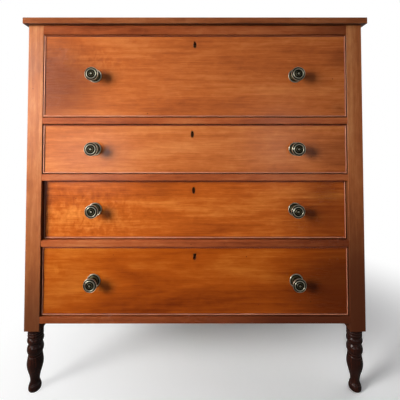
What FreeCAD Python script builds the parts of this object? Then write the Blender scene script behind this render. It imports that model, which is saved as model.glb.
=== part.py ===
import FreeCAD, Part
import os
import re
import Sketcher

# Chest of four graduated, cock-beaded drawers on turned feet, in millimetres.
# +X is the viewer's right, -Y is the front and +Z is up. The origin lies on the
# floor under the middle of the whole object's box.

doc = FreeCAD.newDocument("ChestOfDrawers")

# Driving sizes. Each one can be changed by itself.
SIZES = {
    # case
    "case_width": 1016, "case_depth": 486, "post_size": 46, "square_drop": 23,
    "rail_height": 19.5, "rail_depth": 60, "top_rail_height": 28, "arris": 0.8,
    # clear heights of the drawer openings, the top one first
    "opening_1": 254, "opening_2": 152, "opening_3": 178, "opening_4": 206,
    # top board
    "top_thickness": 19, "top_side_overhang": 10.5, "top_front_overhang": 14.5,
    "top_back_overhang": 6, "top_edge_round": 1.5,
    # joints and side panels of the case
    "tenon_wall": 18, "tenon_width": 24, "tenon_thickness": 9, "tenon_setback": 10,
    "panel_thickness": 16, "panel_recess": 6, "tongue_length": 8, "tongue_thickness": 8,
    "groove_clearance": 0.5,
    # back of the case
    "back_board_thickness": 11, "back_rebate": 10, "back_rail_thickness": 20,
    "back_rail_height": 40, "board_tongue": 5, "board_tongue_thickness": 4, "board_gap": 0.8,
    # runners, guides, kickers and stops
    "runner_reach": 22, "stub_length": 14, "stub_width": 16, "stub_thickness": 8,
    "guide_height": 24, "stop_height": 3.8, "stop_depth": 20, "stop_width": 34,
    "stop_place": 250,
    # how far each drawer front lies behind the rails
    "setback_1": 2, "setback_2": 4, "setback_3": 14, "setback_4": 8,
    # drawer boxes
    "front_gap": 2, "front_thickness": 22, "rear_room": 54, "side_thickness": 13,
    "slide_clearance": 0.3, "side_top_gap": 3, "back_thickness": 12, "back_drop": 4,
    "tail_margin": 1, "pin_width": 4, "tail_slope": 6, "bottom_thickness": 9.5,
    "bottom_edge": 5.5, "bottom_bevel": 26, "bottom_play": 1, "groove_depth": 6,
    "groove_lift": 8,
    # cock beads
    "bead_width": 4.5, "bead_depth": 10, "bead_proud": 2.5, "bead_nose": 1.4,
    # knobs and their rosettes: radii, and lengths from the drawer front outwards
    "knob_place": 305, "rosette_radius": 20.6, "rosette_edge": 1.6, "hub_radius": 7.5,
    "hub_height": 6, "waist_radius": 6, "waist_length": 9, "face_radius": 20.3,
    "flare_length": 15.5, "face_rim": 17.5, "rim_length": 3.5, "stem_radius": 2.8,
    "stem_clearance": 0.2, "stem_tail": 7,
    # keyholes
    "keyhole_drop": 31.5, "keyhole_spread": 12, "keyhole_head": 3.6, "keyhole_slot": 4.4,
    "keyhole_foot": 3.2, "keyhole_depth": 15, "keyhole_shift_1": 0, "keyhole_shift_2": -8,
    "keyhole_shift_3": -4, "keyhole_shift_4": -1, "keyhole_lean_1": 0, "keyhole_lean_2": 0,
    "keyhole_lean_3": 0, "keyhole_lean_4": 4,
    # half-mortise locks and the strikes above them
    "lock_width": 62, "lock_case_width": 50, "lock_height": 50, "lock_case_height": 46,
    "lock_plate": 2, "lock_wall": 11, "key_pin_radius": 1.5, "bolt_width": 24,
    "bolt_thickness": 4, "bolt_height": 15, "bolt_travel": 8, "bolt_clearance": 0.3,
    "bolt_sink": 0.5, "strike_clearance": 1,
    # turned foot: radii, and the lengths between them from the floor up
    "foot_base": 14.6, "base_rise": 5, "ball_radius": 17.8, "ball_length": 8,
    "ankle_rise": 13, "ankle_radius": 12.9, "calf_rise": 25, "calf_radius": 18.2,
    "swell_rise": 29, "swell_radius": 22.9, "neck_rise": 27, "neck_radius": 18.3,
    "neck_length": 11, "ring_rise": 5, "ring_radius": 22.6, "ring_length": 15,
    "notch_rise": 7, "notch_radius": 18, "bead_rise": 6, "bead_length": 12,
    "collar_rise": 4, "collar_radius": 21.4, "collar_length": 18,
}

DRAWERS = (1, 2, 3, 4)
SIDES = ("left", "right")
BACK_BOARDS = 5
# Dovetails at each corner of each drawer.
TAILS = {1: 5, 2: 3, 3: 3, 4: 4}
KNOB_PLACE = {"left": "-knob_place", "right": "knob_place"}
# The rail over each drawer takes the bolt of its lock.
RAIL_OVER = {1: "top_rail_front", 2: "divider_rail_upper", 3: "divider_rail_middle",
             4: "divider_rail_lower"}

# Planes and levels that several pieces share, worked out from the sizes.
PLACES = {
    "ball_low": "base_rise",
    "ball_high": "ball_low + ball_length",
    "ankle_height": "ball_high + ankle_rise",
    "calf_height": "ankle_height + calf_rise",
    "swell_height": "calf_height + swell_rise",
    "neck_low": "swell_height + neck_rise",
    "neck_high": "neck_low + neck_length",
    "ring_low": "neck_high + ring_rise",
    "ring_high": "ring_low + ring_length",
    "notch_height": "ring_high + notch_rise",
    "bead_low": "notch_height + bead_rise",
    "bead_high": "bead_low + bead_length",
    "collar_low": "bead_high + collar_rise",
    "foot_height": "collar_low + collar_length",
    "waist_high": "hub_height + waist_length",
    "face_edge": "waist_high + flare_length",
    "knob_reach": "face_edge + rim_length",
    "half_opening": "case_width / 2 - post_size",
    "tenon_length": "post_size - tenon_wall",
    "drawer_depth": "case_depth - rear_room",
    "panel_outside": "case_width / 2 - panel_recess",
    "panel_inside": "case_width / 2 - panel_recess - panel_thickness",
    "front_reach": "max(knob_reach - min(setback_1; setback_2; setback_3; setback_4);"
                   " top_front_overhang)",
    "front_plane": "(front_reach - case_depth - top_back_overhang) / 2",
    "back_plane": "front_plane + case_depth",
    "board_plane": "back_plane - back_board_thickness",
    "rail_back": "front_plane + rail_depth",
    "runner_back": "back_plane - post_size",
    "rail_bottom": "foot_height + square_drop",
    "sill_4": "rail_bottom + rail_height",
    "sill_3": "sill_4 + opening_4 + rail_height",
    "sill_2": "sill_3 + opening_3 + rail_height",
    "sill_1": "sill_2 + opening_2 + rail_height",
    "head_1": "sill_1 + opening_1",
    "head_2": "sill_2 + opening_2",
    "head_3": "sill_3 + opening_3",
    "head_4": "sill_4 + opening_4",
    "case_top": "head_1 + top_rail_height",
    "half_front": "half_opening - front_gap",
    "inside_side": "half_front - side_thickness",
    "lap": "bead_depth - bead_proud",
    "stem_bore": "stem_radius + stem_clearance",
    "lock_case_depth": "front_thickness - lock_plate - lock_wall",
    "bolt_middle": "front_thickness - lock_plate - lock_case_depth / 2",
    "strike_depth": "bolt_travel - front_gap - bolt_sink + strike_clearance",
}
for n in DRAWERS:
    PLACES.update({
        f"face_{n}": f"front_plane + setback_{n}",
        f"shoulder_{n}": f"face_{n} + front_thickness",
        f"rear_{n}": f"face_{n} + drawer_depth",
        f"rear_inside_{n}": f"rear_{n} - back_thickness",
        f"front_low_{n}": f"sill_{n} + front_gap",
        f"front_high_{n}": f"head_{n} - front_gap",
        f"side_low_{n}": f"sill_{n} + slide_clearance",
        f"side_high_{n}": f"head_{n} - side_top_gap",
        f"groove_low_{n}": f"side_low_{n} + groove_lift",
        f"groove_high_{n}": f"groove_low_{n} + bottom_edge",
        f"back_high_{n}": f"side_high_{n} - back_drop",
        f"key_level_{n}": f"head_{n} - keyhole_drop",
        f"knob_level_{n}": f"(sill_{n} + head_{n}) / 2",
    })

WORD = re.compile(r"[a-z][a-z_0-9]*")


def expression(text):
    """Put the name of its own object before each size and place."""
    def full_name(match):
        word = match.group(0)
        if word in SIZES:
            return "Sizes." + word
        if word in PLACES:
            return "Places." + word
        return word
    return WORD.sub(full_name, str(text))


def bind(item, links):
    for name, text in links.items():
        item.setExpression(name, expression(text))


sheet = doc.addObject("Spreadsheet::Sheet", "Sizes")
for row, (alias, value) in enumerate(SIZES.items(), start=1):
    sheet.set(f"A{row}", alias)
    sheet.set(f"B{row}", str(value))
    sheet.setAlias(f"B{row}", alias)
doc.recompute()

places = doc.addObject("App::VarSet", "Places")
for name in PLACES:
    places.addProperty("App::PropertyFloat", name, "Places")
bind(places, PLACES)
doc.recompute()


def number(name):
    """The present value of a size or a place; 0 stays 0."""
    if name == 0:
        return 0.0
    return float(getattr(sheet if name in SIZES else places, name))


# Building blocks

def mirrored(side, low, high):
    """A span on the right, or the same span on the left."""
    return (low, high) if side == "right" else (f"-({high})", f"-({low})")


def about(middle, width):
    """A span of a width about its middle."""
    return f"({middle}) - ({width}) / 2", f"({middle}) + ({width}) / 2"


def place(item, x, y, z):
    bind(item, {"Placement.Base.x": x, "Placement.Base.y": y, "Placement.Base.z": z})


def turn(item, axis, degrees):
    item.Placement.Rotation = FreeCAD.Rotation(FreeCAD.Vector(*axis), degrees)


def box(name, across, deep, tall):
    """A block from the low and high ends of its three spans."""
    block = doc.addObject("Part::Box", name)
    bind(block, {"Length": f"({across[1]}) - ({across[0]})",
                 "Width": f"({deep[1]}) - ({deep[0]})",
                 "Height": f"({tall[1]}) - ({tall[0]})"})
    place(block, across[0], deep[0], tall[0])
    return block


def bar(name, x, deep, z, radius):
    """A round bar that runs back along +Y."""
    rod = doc.addObject("Part::Cylinder", name)
    turn(rod, (1, 0, 0), -90)
    bind(rod, {"Radius": radius, "Height": f"({deep[1]}) - ({deep[0]})"})
    place(rod, x, deep[0], z)
    return rod


def dovetail(name, across, deep, near, far):
    """A tail: its height changes from near, at the low end of deep, to far, at the high end."""
    tail = doc.addObject("Part::Wedge", name)
    bind(tail, {"Xmin": across[0], "Xmax": across[1], "X2min": across[0], "X2max": across[1],
                "Ymin": deep[0], "Ymax": deep[1],
                "Zmin": near[0], "Zmax": near[1], "Z2min": far[0], "Z2max": far[1]})
    return tail


def upright_wedge(name, tall, low_across, high_across, low_deep, high_deep):
    """A block whose plan changes from its foot to its head."""
    block = doc.addObject("Part::Wedge", name)
    turn(block, (1, 0, 0), 90)
    bind(block, {"Xmin": low_across[0], "Xmax": low_across[1],
                 "X2min": high_across[0], "X2max": high_across[1],
                 "Ymin": tall[0], "Ymax": tall[1],
                 "Zmin": f"-({low_deep[1]})", "Zmax": f"-({low_deep[0]})",
                 "Z2min": f"-({high_deep[1]})", "Z2max": f"-({high_deep[0]})"})
    return block


def fuse(name, pieces):
    joined = doc.addObject("Part::MultiFuse", name)
    joined.Shapes = pieces
    joined.Refine = True
    return joined


def cut(name, base, tools):
    result = doc.addObject("Part::Cut", name)
    result.Base = base
    result.Tool = tools[0] if len(tools) == 1 else fuse(name + "_tools", tools)
    return result


def group(name, pieces):
    together = doc.addObject("Part::Compound", name)
    together.Links = pieces
    return together


finished = []


def finish(label, item, solids=1):
    """Name a finished sub-part and say how many solids it has."""
    item.Label = label
    finished.append((item, solids))
    return item


# Sketched pieces

def new_sketch(body, name, role):
    """A sketch on one of the body's own origin planes."""
    sketch = body.newObject("Sketcher::SketchObject", name)
    plane = next(item for item in body.Origin.OriginFeatures if item.Role == role)
    sketch.AttachmentSupport = [(plane, "")]
    sketch.MapMode = "FlatFace"
    return sketch


def hold(sketch, kind, ends, text, value):
    """A driving dimension of a sketch, bound to the sheet."""
    index = sketch.addConstraint(Sketcher.Constraint(kind, *ends, value))
    sketch.setExpression(f"Constraints[{index}]", expression(text))


def outline(sketch, corners):
    """Close an outline round its corners, each a pair of names of sizes or places, or 0."""
    points = [FreeCAD.Vector(number(x), number(y), 0) for x, y in corners]
    count = len(corners)
    for start, end in zip(points, points[1:] + points[:1]):
        sketch.addGeometry(Part.LineSegment(start, end), False)
    for line, (x, y) in enumerate(corners):
        sketch.addConstraint(Sketcher.Constraint("Coincident", line, 2, (line + 1) % count, 1))
        if x == 0:
            sketch.addConstraint(Sketcher.Constraint("PointOnObject", line, 1, -2))
        else:
            hold(sketch, "DistanceX", (-1, 1, line, 1), x, number(x))
        if y == 0:
            sketch.addConstraint(Sketcher.Constraint("PointOnObject", line, 1, -1))
        else:
            hold(sketch, "DistanceY", (-1, 1, line, 1), y, number(y))


def rectangle(sketch, width, height):
    """A rectangle from the sketch's own corner."""
    corners = [FreeCAD.Vector(*xy, 0) for xy in ((0, 0), (10, 0), (10, 10), (0, 10))]
    for start, end in zip(corners, corners[1:] + corners[:1]):
        sketch.addGeometry(Part.LineSegment(start, end), False)
    for edge in range(4):
        sketch.addConstraint(Sketcher.Constraint("Coincident", edge, 2, (edge + 1) % 4, 1))
        sketch.addConstraint(Sketcher.Constraint("Vertical" if edge % 2 else "Horizontal", edge))
    sketch.addConstraint(Sketcher.Constraint("Coincident", 0, 1, -1, 1))
    hold(sketch, "DistanceX", (0, 1, 0, 2), width, 10)
    hold(sketch, "DistanceY", (1, 1, 1, 2), height, 10)


def pad(body, sketch, length, name):
    solid = body.newObject("PartDesign::Pad", name)
    solid.Profile = sketch
    bind(solid, {"Length": length})
    return solid


def ease(body, base, kind, size, chosen, name):
    """Chamfer or fillet the edges of the base whose middles, as shares of its box, are chosen."""
    doc.recompute()
    bounds = base.Shape.BoundBox
    lows = (bounds.XMin, bounds.YMin, bounds.ZMin)
    lengths = (bounds.XLength, bounds.YLength, bounds.ZLength)
    edges = []
    for index, edge in enumerate(base.Shape.Edges, start=1):
        shares = [round((middle - low) / length, 3)
                  for middle, low, length in zip(edge.CenterOfMass, lows, lengths)]
        if chosen(*shares):
            edges.append(f"Edge{index}")
    eased = body.newObject("PartDesign::" + kind, name)
    eased.Base = (base, edges)
    bind(eased, {"Size" if kind == "Chamfer" else "Radius": size})
    body.Tip = eased
    return eased


def eased_board(name, across, deep, tall, kind, size, chosen):
    """A board with some of its edges eased."""
    body = doc.addObject("PartDesign::Body", name)
    plan = new_sketch(body, name + "_plan", "XY_Plane")
    rectangle(plan, f"({across[1]}) - ({across[0]})", f"({deep[1]}) - ({deep[0]})")
    board = pad(body, plan, f"({tall[1]}) - ({tall[0]})", name + "_board")
    place(body, across[0], deep[0], tall[0])
    ease(body, board, kind, size, chosen, name + "_eased")
    return body


def turning(body, name, corners):
    """Turn an outline about the body's upright axis."""
    sketch = new_sketch(body, name + "_outline", "XZ_Plane")
    outline(sketch, corners)
    turned = body.newObject("PartDesign::Revolution", name)
    turned.Profile = sketch
    turned.ReferenceAxis = (sketch, ["V_Axis"])
    turned.Angle = 360
    body.Tip = turned
    return turned


# Top

finish("top_board", eased_board(
    "TopBoard",
    ("-case_width / 2 - top_side_overhang", "case_width / 2 + top_side_overhang"),
    ("front_plane - top_front_overhang", "back_plane + top_back_overhang"),
    ("case_top", "case_top + top_thickness"), "Fillet", "top_edge_round",
    lambda x, y, z: z in (0, 1)))


# Tongues and tenons, which the posts are cut to take

def panel_tongue(side, end):
    """The tongue of a side panel in the groove of the post at the end."""
    deep = (("front_plane + post_size - tongue_length", "front_plane + post_size")
            if end == "front" else ("runner_back", "runner_back + tongue_length"))
    across = mirrored(side, *about("(panel_inside + panel_outside) / 2", "tongue_thickness"))
    return box(f"PanelTongue_{side}_{end}", across, deep, ("rail_bottom", "case_top"))


def panel_groove(side, end):
    deep = (("front_plane + post_size - tongue_length - groove_clearance", "front_plane + post_size")
            if end == "front" else ("runner_back", "runner_back + tongue_length + groove_clearance"))
    across = mirrored(side, *about("(panel_inside + panel_outside) / 2", "tongue_thickness"))
    return box(f"PanelGroove_{side}_{end}", across, deep, ("rail_bottom", "case_top"))


def rail_tenon(rail, side, low, high):
    return box(f"Tenon_{rail}_{side}", mirrored(side, "half_opening", "half_opening + tenon_length"),
               ("front_plane + tenon_setback", "front_plane + tenon_setback + tenon_width"),
               about(f"({low} + {high}) / 2", "tenon_thickness"))


def back_tenon(rail, side, low, high):
    return box(f"Tenon_{rail}_{side}", mirrored(side, "half_opening", "half_opening + tenon_length"),
               about("board_plane - back_rail_thickness / 2", "tenon_thickness"),
               about(f"({low} + {high}) / 2", "tenon_width"))


FRONT_RAILS = {
    "top_rail_front": ("head_1", "case_top"),
    "divider_rail_upper": ("head_2", "sill_1"),
    "divider_rail_middle": ("head_3", "sill_2"),
    "divider_rail_lower": ("head_4", "sill_3"),
    "bottom_rail_front": ("rail_bottom", "sill_4"),
}
BACK_RAILS = {
    "back_rail_top": ("case_top - back_rail_height", "case_top"),
    "back_rail_bottom": ("rail_bottom", "rail_bottom + back_rail_height"),
}
tenons = {(rail, side): rail_tenon(rail, side, low, high)
          for rail, (low, high) in FRONT_RAILS.items() for side in SIDES}
back_tenons = {(rail, side): back_tenon(rail, side, low, high)
               for rail, (low, high) in BACK_RAILS.items() for side in SIDES}


# Posts, each one piece with its turned foot

FOOT = [
    (0, 0),
    ("foot_base", 0),
    ("ball_radius", "ball_low"),
    ("ball_radius", "ball_high"),
    ("ankle_radius", "ankle_height"),
    ("calf_radius", "calf_height"),
    ("swell_radius", "swell_height"),
    ("neck_radius", "neck_low"),
    ("neck_radius", "neck_high"),
    ("ring_radius", "ring_low"),
    ("ring_radius", "ring_high"),
    ("notch_radius", "notch_height"),
    ("ring_radius", "bead_low"),
    ("ring_radius", "bead_high"),
    ("collar_radius", "collar_low"),
    ("collar_radius", "foot_height"),
    (0, "foot_height"),
]


def post(side, end):
    name = f"Post_{end}_{side}"
    body = doc.addObject("PartDesign::Body", name + "_turned")
    plan = new_sketch(body, name + "_plan", "XY_Plane")
    rectangle(plan, "post_size", "post_size")
    bind(plan, {"AttachmentOffset.Base.x": "-post_size / 2", "AttachmentOffset.Base.y": "-post_size / 2",
                "AttachmentOffset.Base.z": "foot_height"})
    square = pad(body, plan, "case_top - foot_height", name + "_square")
    ease(body, square, "Chamfer", "arris", lambda x, y, z: z == 0.5, name + "_arris")
    turning(body, name + "_foot", FOOT)
    middle = "case_width / 2 - post_size / 2"
    depth = "front_plane + post_size / 2" if end == "front" else "back_plane - post_size / 2"
    place(body, middle if side == "right" else f"-({middle})", depth, 0)
    cutters = [panel_groove(side, end)]
    if end == "front":
        cutters += [tenons[rail, side] for rail in FRONT_RAILS]
    else:
        cutters += [back_tenons[rail, side] for rail in BACK_RAILS]
        cutters.append(box(f"BackRebate_{side}", mirrored(side, "half_opening", "half_opening + back_rebate"),
                           ("board_plane", "back_plane"), ("rail_bottom", "case_top")))
    return finish(f"post_{end}_{side}", cut(name, body, cutters))


for end in ("front", "back"):
    for side in SIDES:
        post(side, end)


# Side panels

for side in SIDES:
    board = box(f"PanelBoard_{side}", mirrored(side, "panel_inside", "panel_outside"),
                ("front_plane + post_size", "runner_back"), ("rail_bottom", "case_top"))
    tongues = [panel_tongue(side, end) for end in ("front", "back")]
    finish(f"side_panel_{side}", fuse(f"SidePanel_{side}", [board] + tongues))


# Runners, with the stub tenons that enter the front rails

def runner(name, side, low, high):
    """A runner or a kicker and its stub."""
    beam = box(name, mirrored(side, "half_opening - runner_reach", "panel_inside"),
               ("rail_back", "runner_back"), (low, high))
    stub = box(name + "_stub", mirrored(side, *about("half_opening - runner_reach / 2", "stub_width")),
               ("rail_back - stub_length", "rail_back"), about(f"({low} + {high}) / 2", "stub_thickness"))
    return fuse(name + "_whole", [beam, stub]), stub


runners = {}
stubs = {rail: [] for rail in FRONT_RAILS}
for rail, (low, high) in FRONT_RAILS.items():
    for side in SIDES:
        runners[rail, side], stub = runner(f"Runner_{rail}_{side}", side, low, high)
        stubs[rail].append(stub)
finish("top_kickers", group("TopKickers", [runners["top_rail_front", side] for side in SIDES]), 2)
drawer_runners = [runners[rail, side] for rail in FRONT_RAILS if rail != "top_rail_front" for side in SIDES]
finish("drawer_runners", group("DrawerRunners", drawer_runners), len(drawer_runners))

guides = [box(f"Guide_{n}_{side}", mirrored(side, "half_opening", "panel_inside"),
              ("rail_back", "runner_back"), (f"sill_{n}", f"sill_{n} + guide_height"))
          for n in DRAWERS for side in SIDES]
finish("drawer_guides", group("DrawerGuides", guides), len(guides))

stops = [box(f"Stop_{n}_{side}", mirrored(side, *about("stop_place", "stop_width")),
             (f"shoulder_{n} + slide_clearance", f"shoulder_{n} + slide_clearance + stop_depth"),
             (f"sill_{n}", f"sill_{n} + stop_height"))
         for n in DRAWERS for side in SIDES]
finish("drawer_stops", group("DrawerStops", stops), len(stops))


# Front rails, with the strike that each lock's bolt enters

strikes = {RAIL_OVER[n]: box(
    f"Strike_{n}", about(f"keyhole_shift_{n}", "bolt_width + 2 * strike_clearance"),
    about(f"face_{n} + bolt_middle", "bolt_thickness + 2 * strike_clearance"),
    (f"head_{n}", f"head_{n} + strike_depth")) for n in DRAWERS}
for rail, (low, high) in FRONT_RAILS.items():
    chosen = lambda x, y, z: y == 0 and x == 0.5
    board = eased_board(f"RailBoard_{rail}", ("-half_opening", "half_opening"), ("front_plane", "rail_back"),
                        (low, high), "Chamfer", "arris", chosen)
    whole = fuse(f"RailWhole_{rail}", [board] + [tenons[rail, side] for side in SIDES])
    mortises = stubs[rail] + ([strikes[rail]] if rail in strikes else [])
    finish(rail, cut(f"Rail_{rail}", whole, mortises))


# Back rails and back boards

for rail, (low, high) in BACK_RAILS.items():
    board = box(f"BackRailBoard_{rail}", ("-half_opening", "half_opening"),
                ("board_plane - back_rail_thickness", "board_plane"), (low, high))
    finish(rail, fuse(f"BackRail_{rail}", [board] + [back_tenons[rail, side] for side in SIDES]))

board_start = "-(half_opening + back_rebate - board_gap)"
board_pitch = f"((-2 * {board_start} + board_gap) / {BACK_BOARDS})"
board_middle = "board_plane + back_board_thickness / 2"


def board_joint(index, length):
    """The tongue, or with a greater length the groove, where a board meets the next one."""
    edge = f"{board_start} + {index + 1} * {board_pitch}"
    return box(f"BoardJoint_{index}_{'groove' if 'clearance' in length else 'tongue'}",
               (f"{edge} - board_gap", f"{edge} + {length}"),
               about(board_middle, "board_tongue_thickness"), ("rail_bottom", "case_top"))


boards = []
for index in range(BACK_BOARDS):
    board = box(f"BackBoard_{index}", (f"{board_start} + {index} * {board_pitch}",
                                       f"{board_start} + {index + 1} * {board_pitch} - board_gap"),
                ("board_plane", "back_plane"), ("rail_bottom", "case_top"))
    if index < BACK_BOARDS - 1:
        board = fuse(f"BackBoardTongued_{index}", [board, board_joint(index, "board_tongue")])
    if index > 0:
        board = cut(f"BackBoardGrooved_{index}", board,
                    [board_joint(index - 1, "board_tongue + groove_clearance")])
    boards.append(board)
finish("back_boards", group("BackBoards", boards), BACK_BOARDS)


# Drawers

def front_tails(n, side):
    """Half-blind tails of a drawer side in its front."""
    low = f"(front_low_{n} + tail_margin)"
    pitch = f"((side_high_{n} - {low}) / {TAILS[n]})"
    tip = f"({pitch} - pin_width)"
    root = f"({tip} - 2 * (front_thickness - lap) / tail_slope)"
    return [dovetail(f"FrontTail_{n}_{side}_{i}", mirrored(side, "inside_side", "half_front"),
                     (f"face_{n} + lap", f"shoulder_{n}"),
                     about(f"{low} + {i + 0.5} * {pitch}", tip),
                     about(f"{low} + {i + 0.5} * {pitch}", root)) for i in range(TAILS[n])]


def back_tails(n, side):
    """Through tails of a drawer side in its back."""
    low = f"groove_high_{n}"
    pitch = f"((back_high_{n} - {low}) / {TAILS[n]})"
    tip = f"({pitch} - pin_width)"
    root = f"({tip} - 2 * back_thickness / tail_slope)"
    return [dovetail(f"BackTail_{n}_{side}_{i}", mirrored(side, "inside_side", "half_front"),
                     (f"rear_inside_{n}", f"rear_{n}"),
                     about(f"{low} + {i + 0.5} * {pitch}", root),
                     about(f"{low} + {i + 0.5} * {pitch}", tip)) for i in range(TAILS[n])]


def drawer_side(n, side, tails):
    """A side board: its tails, the heel under the back and the horn above it, and its groove."""
    across = mirrored(side, "inside_side", "half_front")
    plank = box(f"SideBoard_{n}_{side}", across, (f"shoulder_{n}", f"rear_inside_{n}"),
                (f"side_low_{n}", f"side_high_{n}"))
    heel = box(f"Heel_{n}_{side}", across, (f"rear_inside_{n}", f"rear_{n}"),
               (f"side_low_{n}", f"groove_high_{n}"))
    horn = box(f"Horn_{n}_{side}", across, (f"rear_inside_{n}", f"rear_{n}"),
               (f"back_high_{n}", f"side_high_{n}"))
    groove = box(f"SideGroove_{n}_{side}", mirrored(side, "inside_side", "inside_side + groove_depth"),
                 (f"face_{n} + lap", f"rear_{n}"), (f"groove_low_{n}", f"groove_high_{n}"))
    whole = fuse(f"SideWhole_{n}_{side}", [plank, heel, horn] + tails)
    return cut(f"DrawerSide_{n}_{side}", whole, [groove])


def keyhole(n):
    """A round head, a narrower foot and the slot between them; a worn one leans."""
    deep = (f"face_{n} - front_gap", f"face_{n} + keyhole_depth")
    head = bar(f"KeyholeHead_{n}", f"keyhole_shift_{n} + keyhole_lean_{n} / 2", deep,
               f"key_level_{n} + keyhole_spread / 2", "keyhole_head")
    foot = bar(f"KeyholeFoot_{n}", f"keyhole_shift_{n} - keyhole_lean_{n} / 2", deep,
               f"key_level_{n} - keyhole_spread / 2", "keyhole_foot")
    slot = upright_wedge(f"KeyholeSlot_{n}", about(f"key_level_{n}", "keyhole_spread"),
                         about(f"keyhole_shift_{n} - keyhole_lean_{n} / 2", "keyhole_slot"),
                         about(f"keyhole_shift_{n} + keyhole_lean_{n} / 2", "keyhole_slot"), deep, deep)
    return [head, foot, slot]


def lock_blocks(n):
    """The lock's top plate, back plate and case, which the drawer front is cut to take."""
    shift = f"keyhole_shift_{n}"
    top_plate = box(f"LockTop_{n}", about(shift, "lock_width"), (f"face_{n} + lap", f"shoulder_{n}"),
                    (f"front_high_{n} - lock_plate", f"front_high_{n}"))
    back_plate = box(f"LockBack_{n}", about(shift, "lock_width"),
                     (f"shoulder_{n} - lock_plate", f"shoulder_{n}"),
                     (f"front_high_{n} - lock_height", f"front_high_{n}"))
    case = box(f"LockCase_{n}", about(shift, "lock_case_width"),
               (f"shoulder_{n} - lock_plate - lock_case_depth", f"shoulder_{n}"),
               (f"front_high_{n} - lock_case_height", f"front_high_{n}"))
    return [top_plate, back_plate, case]


def drawer_lock(n, blocks):
    """The lock with its bolt slot, and the key slot with the pin that the key turns on."""
    pin_height = f"key_level_{n} + keyhole_spread / 2"
    case_deep = (f"shoulder_{n} - lock_plate - lock_case_depth", f"shoulder_{n} - lock_plate")
    bolt_slot = box(f"BoltSlot_{n}", about(f"keyhole_shift_{n}", "bolt_width + 2 * bolt_clearance"),
                    about(f"face_{n} + bolt_middle", "bolt_thickness + 2 * bolt_clearance"),
                    (f"front_high_{n} - bolt_sink - bolt_height - bolt_clearance",
                     f"front_high_{n} + front_gap"))
    key_slot = box(f"KeySlot_{n}", about(f"keyhole_shift_{n}", f"2 * keyhole_head + keyhole_lean_{n}"),
                   case_deep, about(f"key_level_{n}", "keyhole_spread + 2 * keyhole_head"))
    pin = bar(f"KeyPin_{n}", f"keyhole_shift_{n} + keyhole_lean_{n} / 2", case_deep, pin_height,
              "key_pin_radius")
    shell = cut(f"LockShell_{n}", fuse(f"LockBlocks_{n}", blocks), [bolt_slot, key_slot])
    return fuse(f"Lock_{n}", [shell, pin])


def lock_bolt(n):
    high = f"front_high_{n} - bolt_sink"
    return box(f"Bolt_{n}", about(f"keyhole_shift_{n}", "bolt_width"),
               about(f"face_{n} + bolt_middle", "bolt_thickness"), (f"{high} - bolt_height", high))


def drawer_front(n, tails, blocks, key_way):
    """The front board: rebated for its cock beads, socketed, grooved, and bored."""
    core = box(f"FrontCore_{n}", ("-half_front", "half_front"), (f"face_{n} + lap", f"shoulder_{n}"),
               (f"front_low_{n}", f"front_high_{n}"))
    field = box(f"FrontField_{n}", ("-half_front + bead_width", "half_front - bead_width"),
                (f"face_{n}", f"face_{n} + lap"),
                (f"front_low_{n} + bead_width", f"front_high_{n} - bead_width"))
    groove = box(f"FrontGroove_{n}", ("-inside_side", "inside_side"),
                 (f"shoulder_{n} - groove_depth", f"shoulder_{n}"), (f"groove_low_{n}", f"groove_high_{n}"))
    bores = [bar(f"StemBore_{n}_{side}", KNOB_PLACE[side],
                 (f"face_{n} - front_gap", f"shoulder_{n} + front_gap"), f"knob_level_{n}",
                 "stem_bore") for side in SIDES]
    return cut(f"DrawerFront_{n}", fuse(f"FrontBoard_{n}", [core, field]),
               tails + blocks + key_way + bores + [groove])


def drawer_back(n, tails):
    board = box(f"BackPlank_{n}", ("-half_front", "half_front"), (f"rear_inside_{n}", f"rear_{n}"),
                (f"groove_high_{n}", f"back_high_{n}"))
    return cut(f"DrawerBack_{n}", board, tails)


def drawer_bottom(n):
    """A board bevelled below on three edges, which run in the grooves."""
    edge = "inside_side + groove_depth - groove_clearance"
    sheet_part = box(f"BottomEdge_{n}", (f"-({edge})", edge),
                     (f"shoulder_{n} - groove_depth + groove_clearance", f"rear_{n}"),
                     (f"groove_low_{n}", f"groove_high_{n}"))
    wide = "inside_side - bottom_play"
    narrow = f"{wide} - bottom_bevel"
    start = f"shoulder_{n} + bottom_play"
    field = upright_wedge(f"BottomField_{n}", (f"groove_high_{n} - bottom_thickness", f"groove_low_{n}"),
                          (f"-({narrow})", narrow), (f"-({wide})", wide),
                          (f"{start} + bottom_bevel", f"rear_{n}"), (start, f"rear_{n}"))
    return fuse(f"DrawerBottom_{n}", [sheet_part, field])


def bead_strip(n, edge, length, x, z, degrees):
    """One mitred strip with a rounded nose; its outer edge runs along the body's X."""
    name = f"Bead_{n}_{edge}"
    body = doc.addObject("PartDesign::Body", name)
    plan = new_sketch(body, name + "_plan", "XZ_Plane")
    corners = [FreeCAD.Vector(*xy, 0) for xy in ((0, 0), (100, 0), (95, 5), (5, 5))]
    for start, end in zip(corners, corners[1:] + corners[:1]):
        plan.addGeometry(Part.LineSegment(start, end), False)
    for line in range(4):
        plan.addConstraint(Sketcher.Constraint("Coincident", line, 2, (line + 1) % 4, 1))
    plan.addConstraint(Sketcher.Constraint("Coincident", 0, 1, -1, 1))
    plan.addConstraint(Sketcher.Constraint("Horizontal", 0))
    plan.addConstraint(Sketcher.Constraint("Horizontal", 2))
    hold(plan, "DistanceX", (0, 1, 0, 2), length, 100)
    hold(plan, "DistanceY", (0, 1, 2, 2), "bead_width", 5)
    hold(plan, "DistanceX", (0, 1, 2, 2), "bead_width", 5)
    hold(plan, "DistanceX", (2, 1, 0, 2), "bead_width", 5)
    strip = pad(body, plan, "bead_depth", name + "_strip")
    ease(body, strip, "Chamfer", "bead_nose", lambda x, y, z: y == 0 and x == 0.5, name + "_nose")
    turn(body, (0, 1, 0), degrees)
    place(body, x, f"face_{n} + lap", z)
    return body


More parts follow.
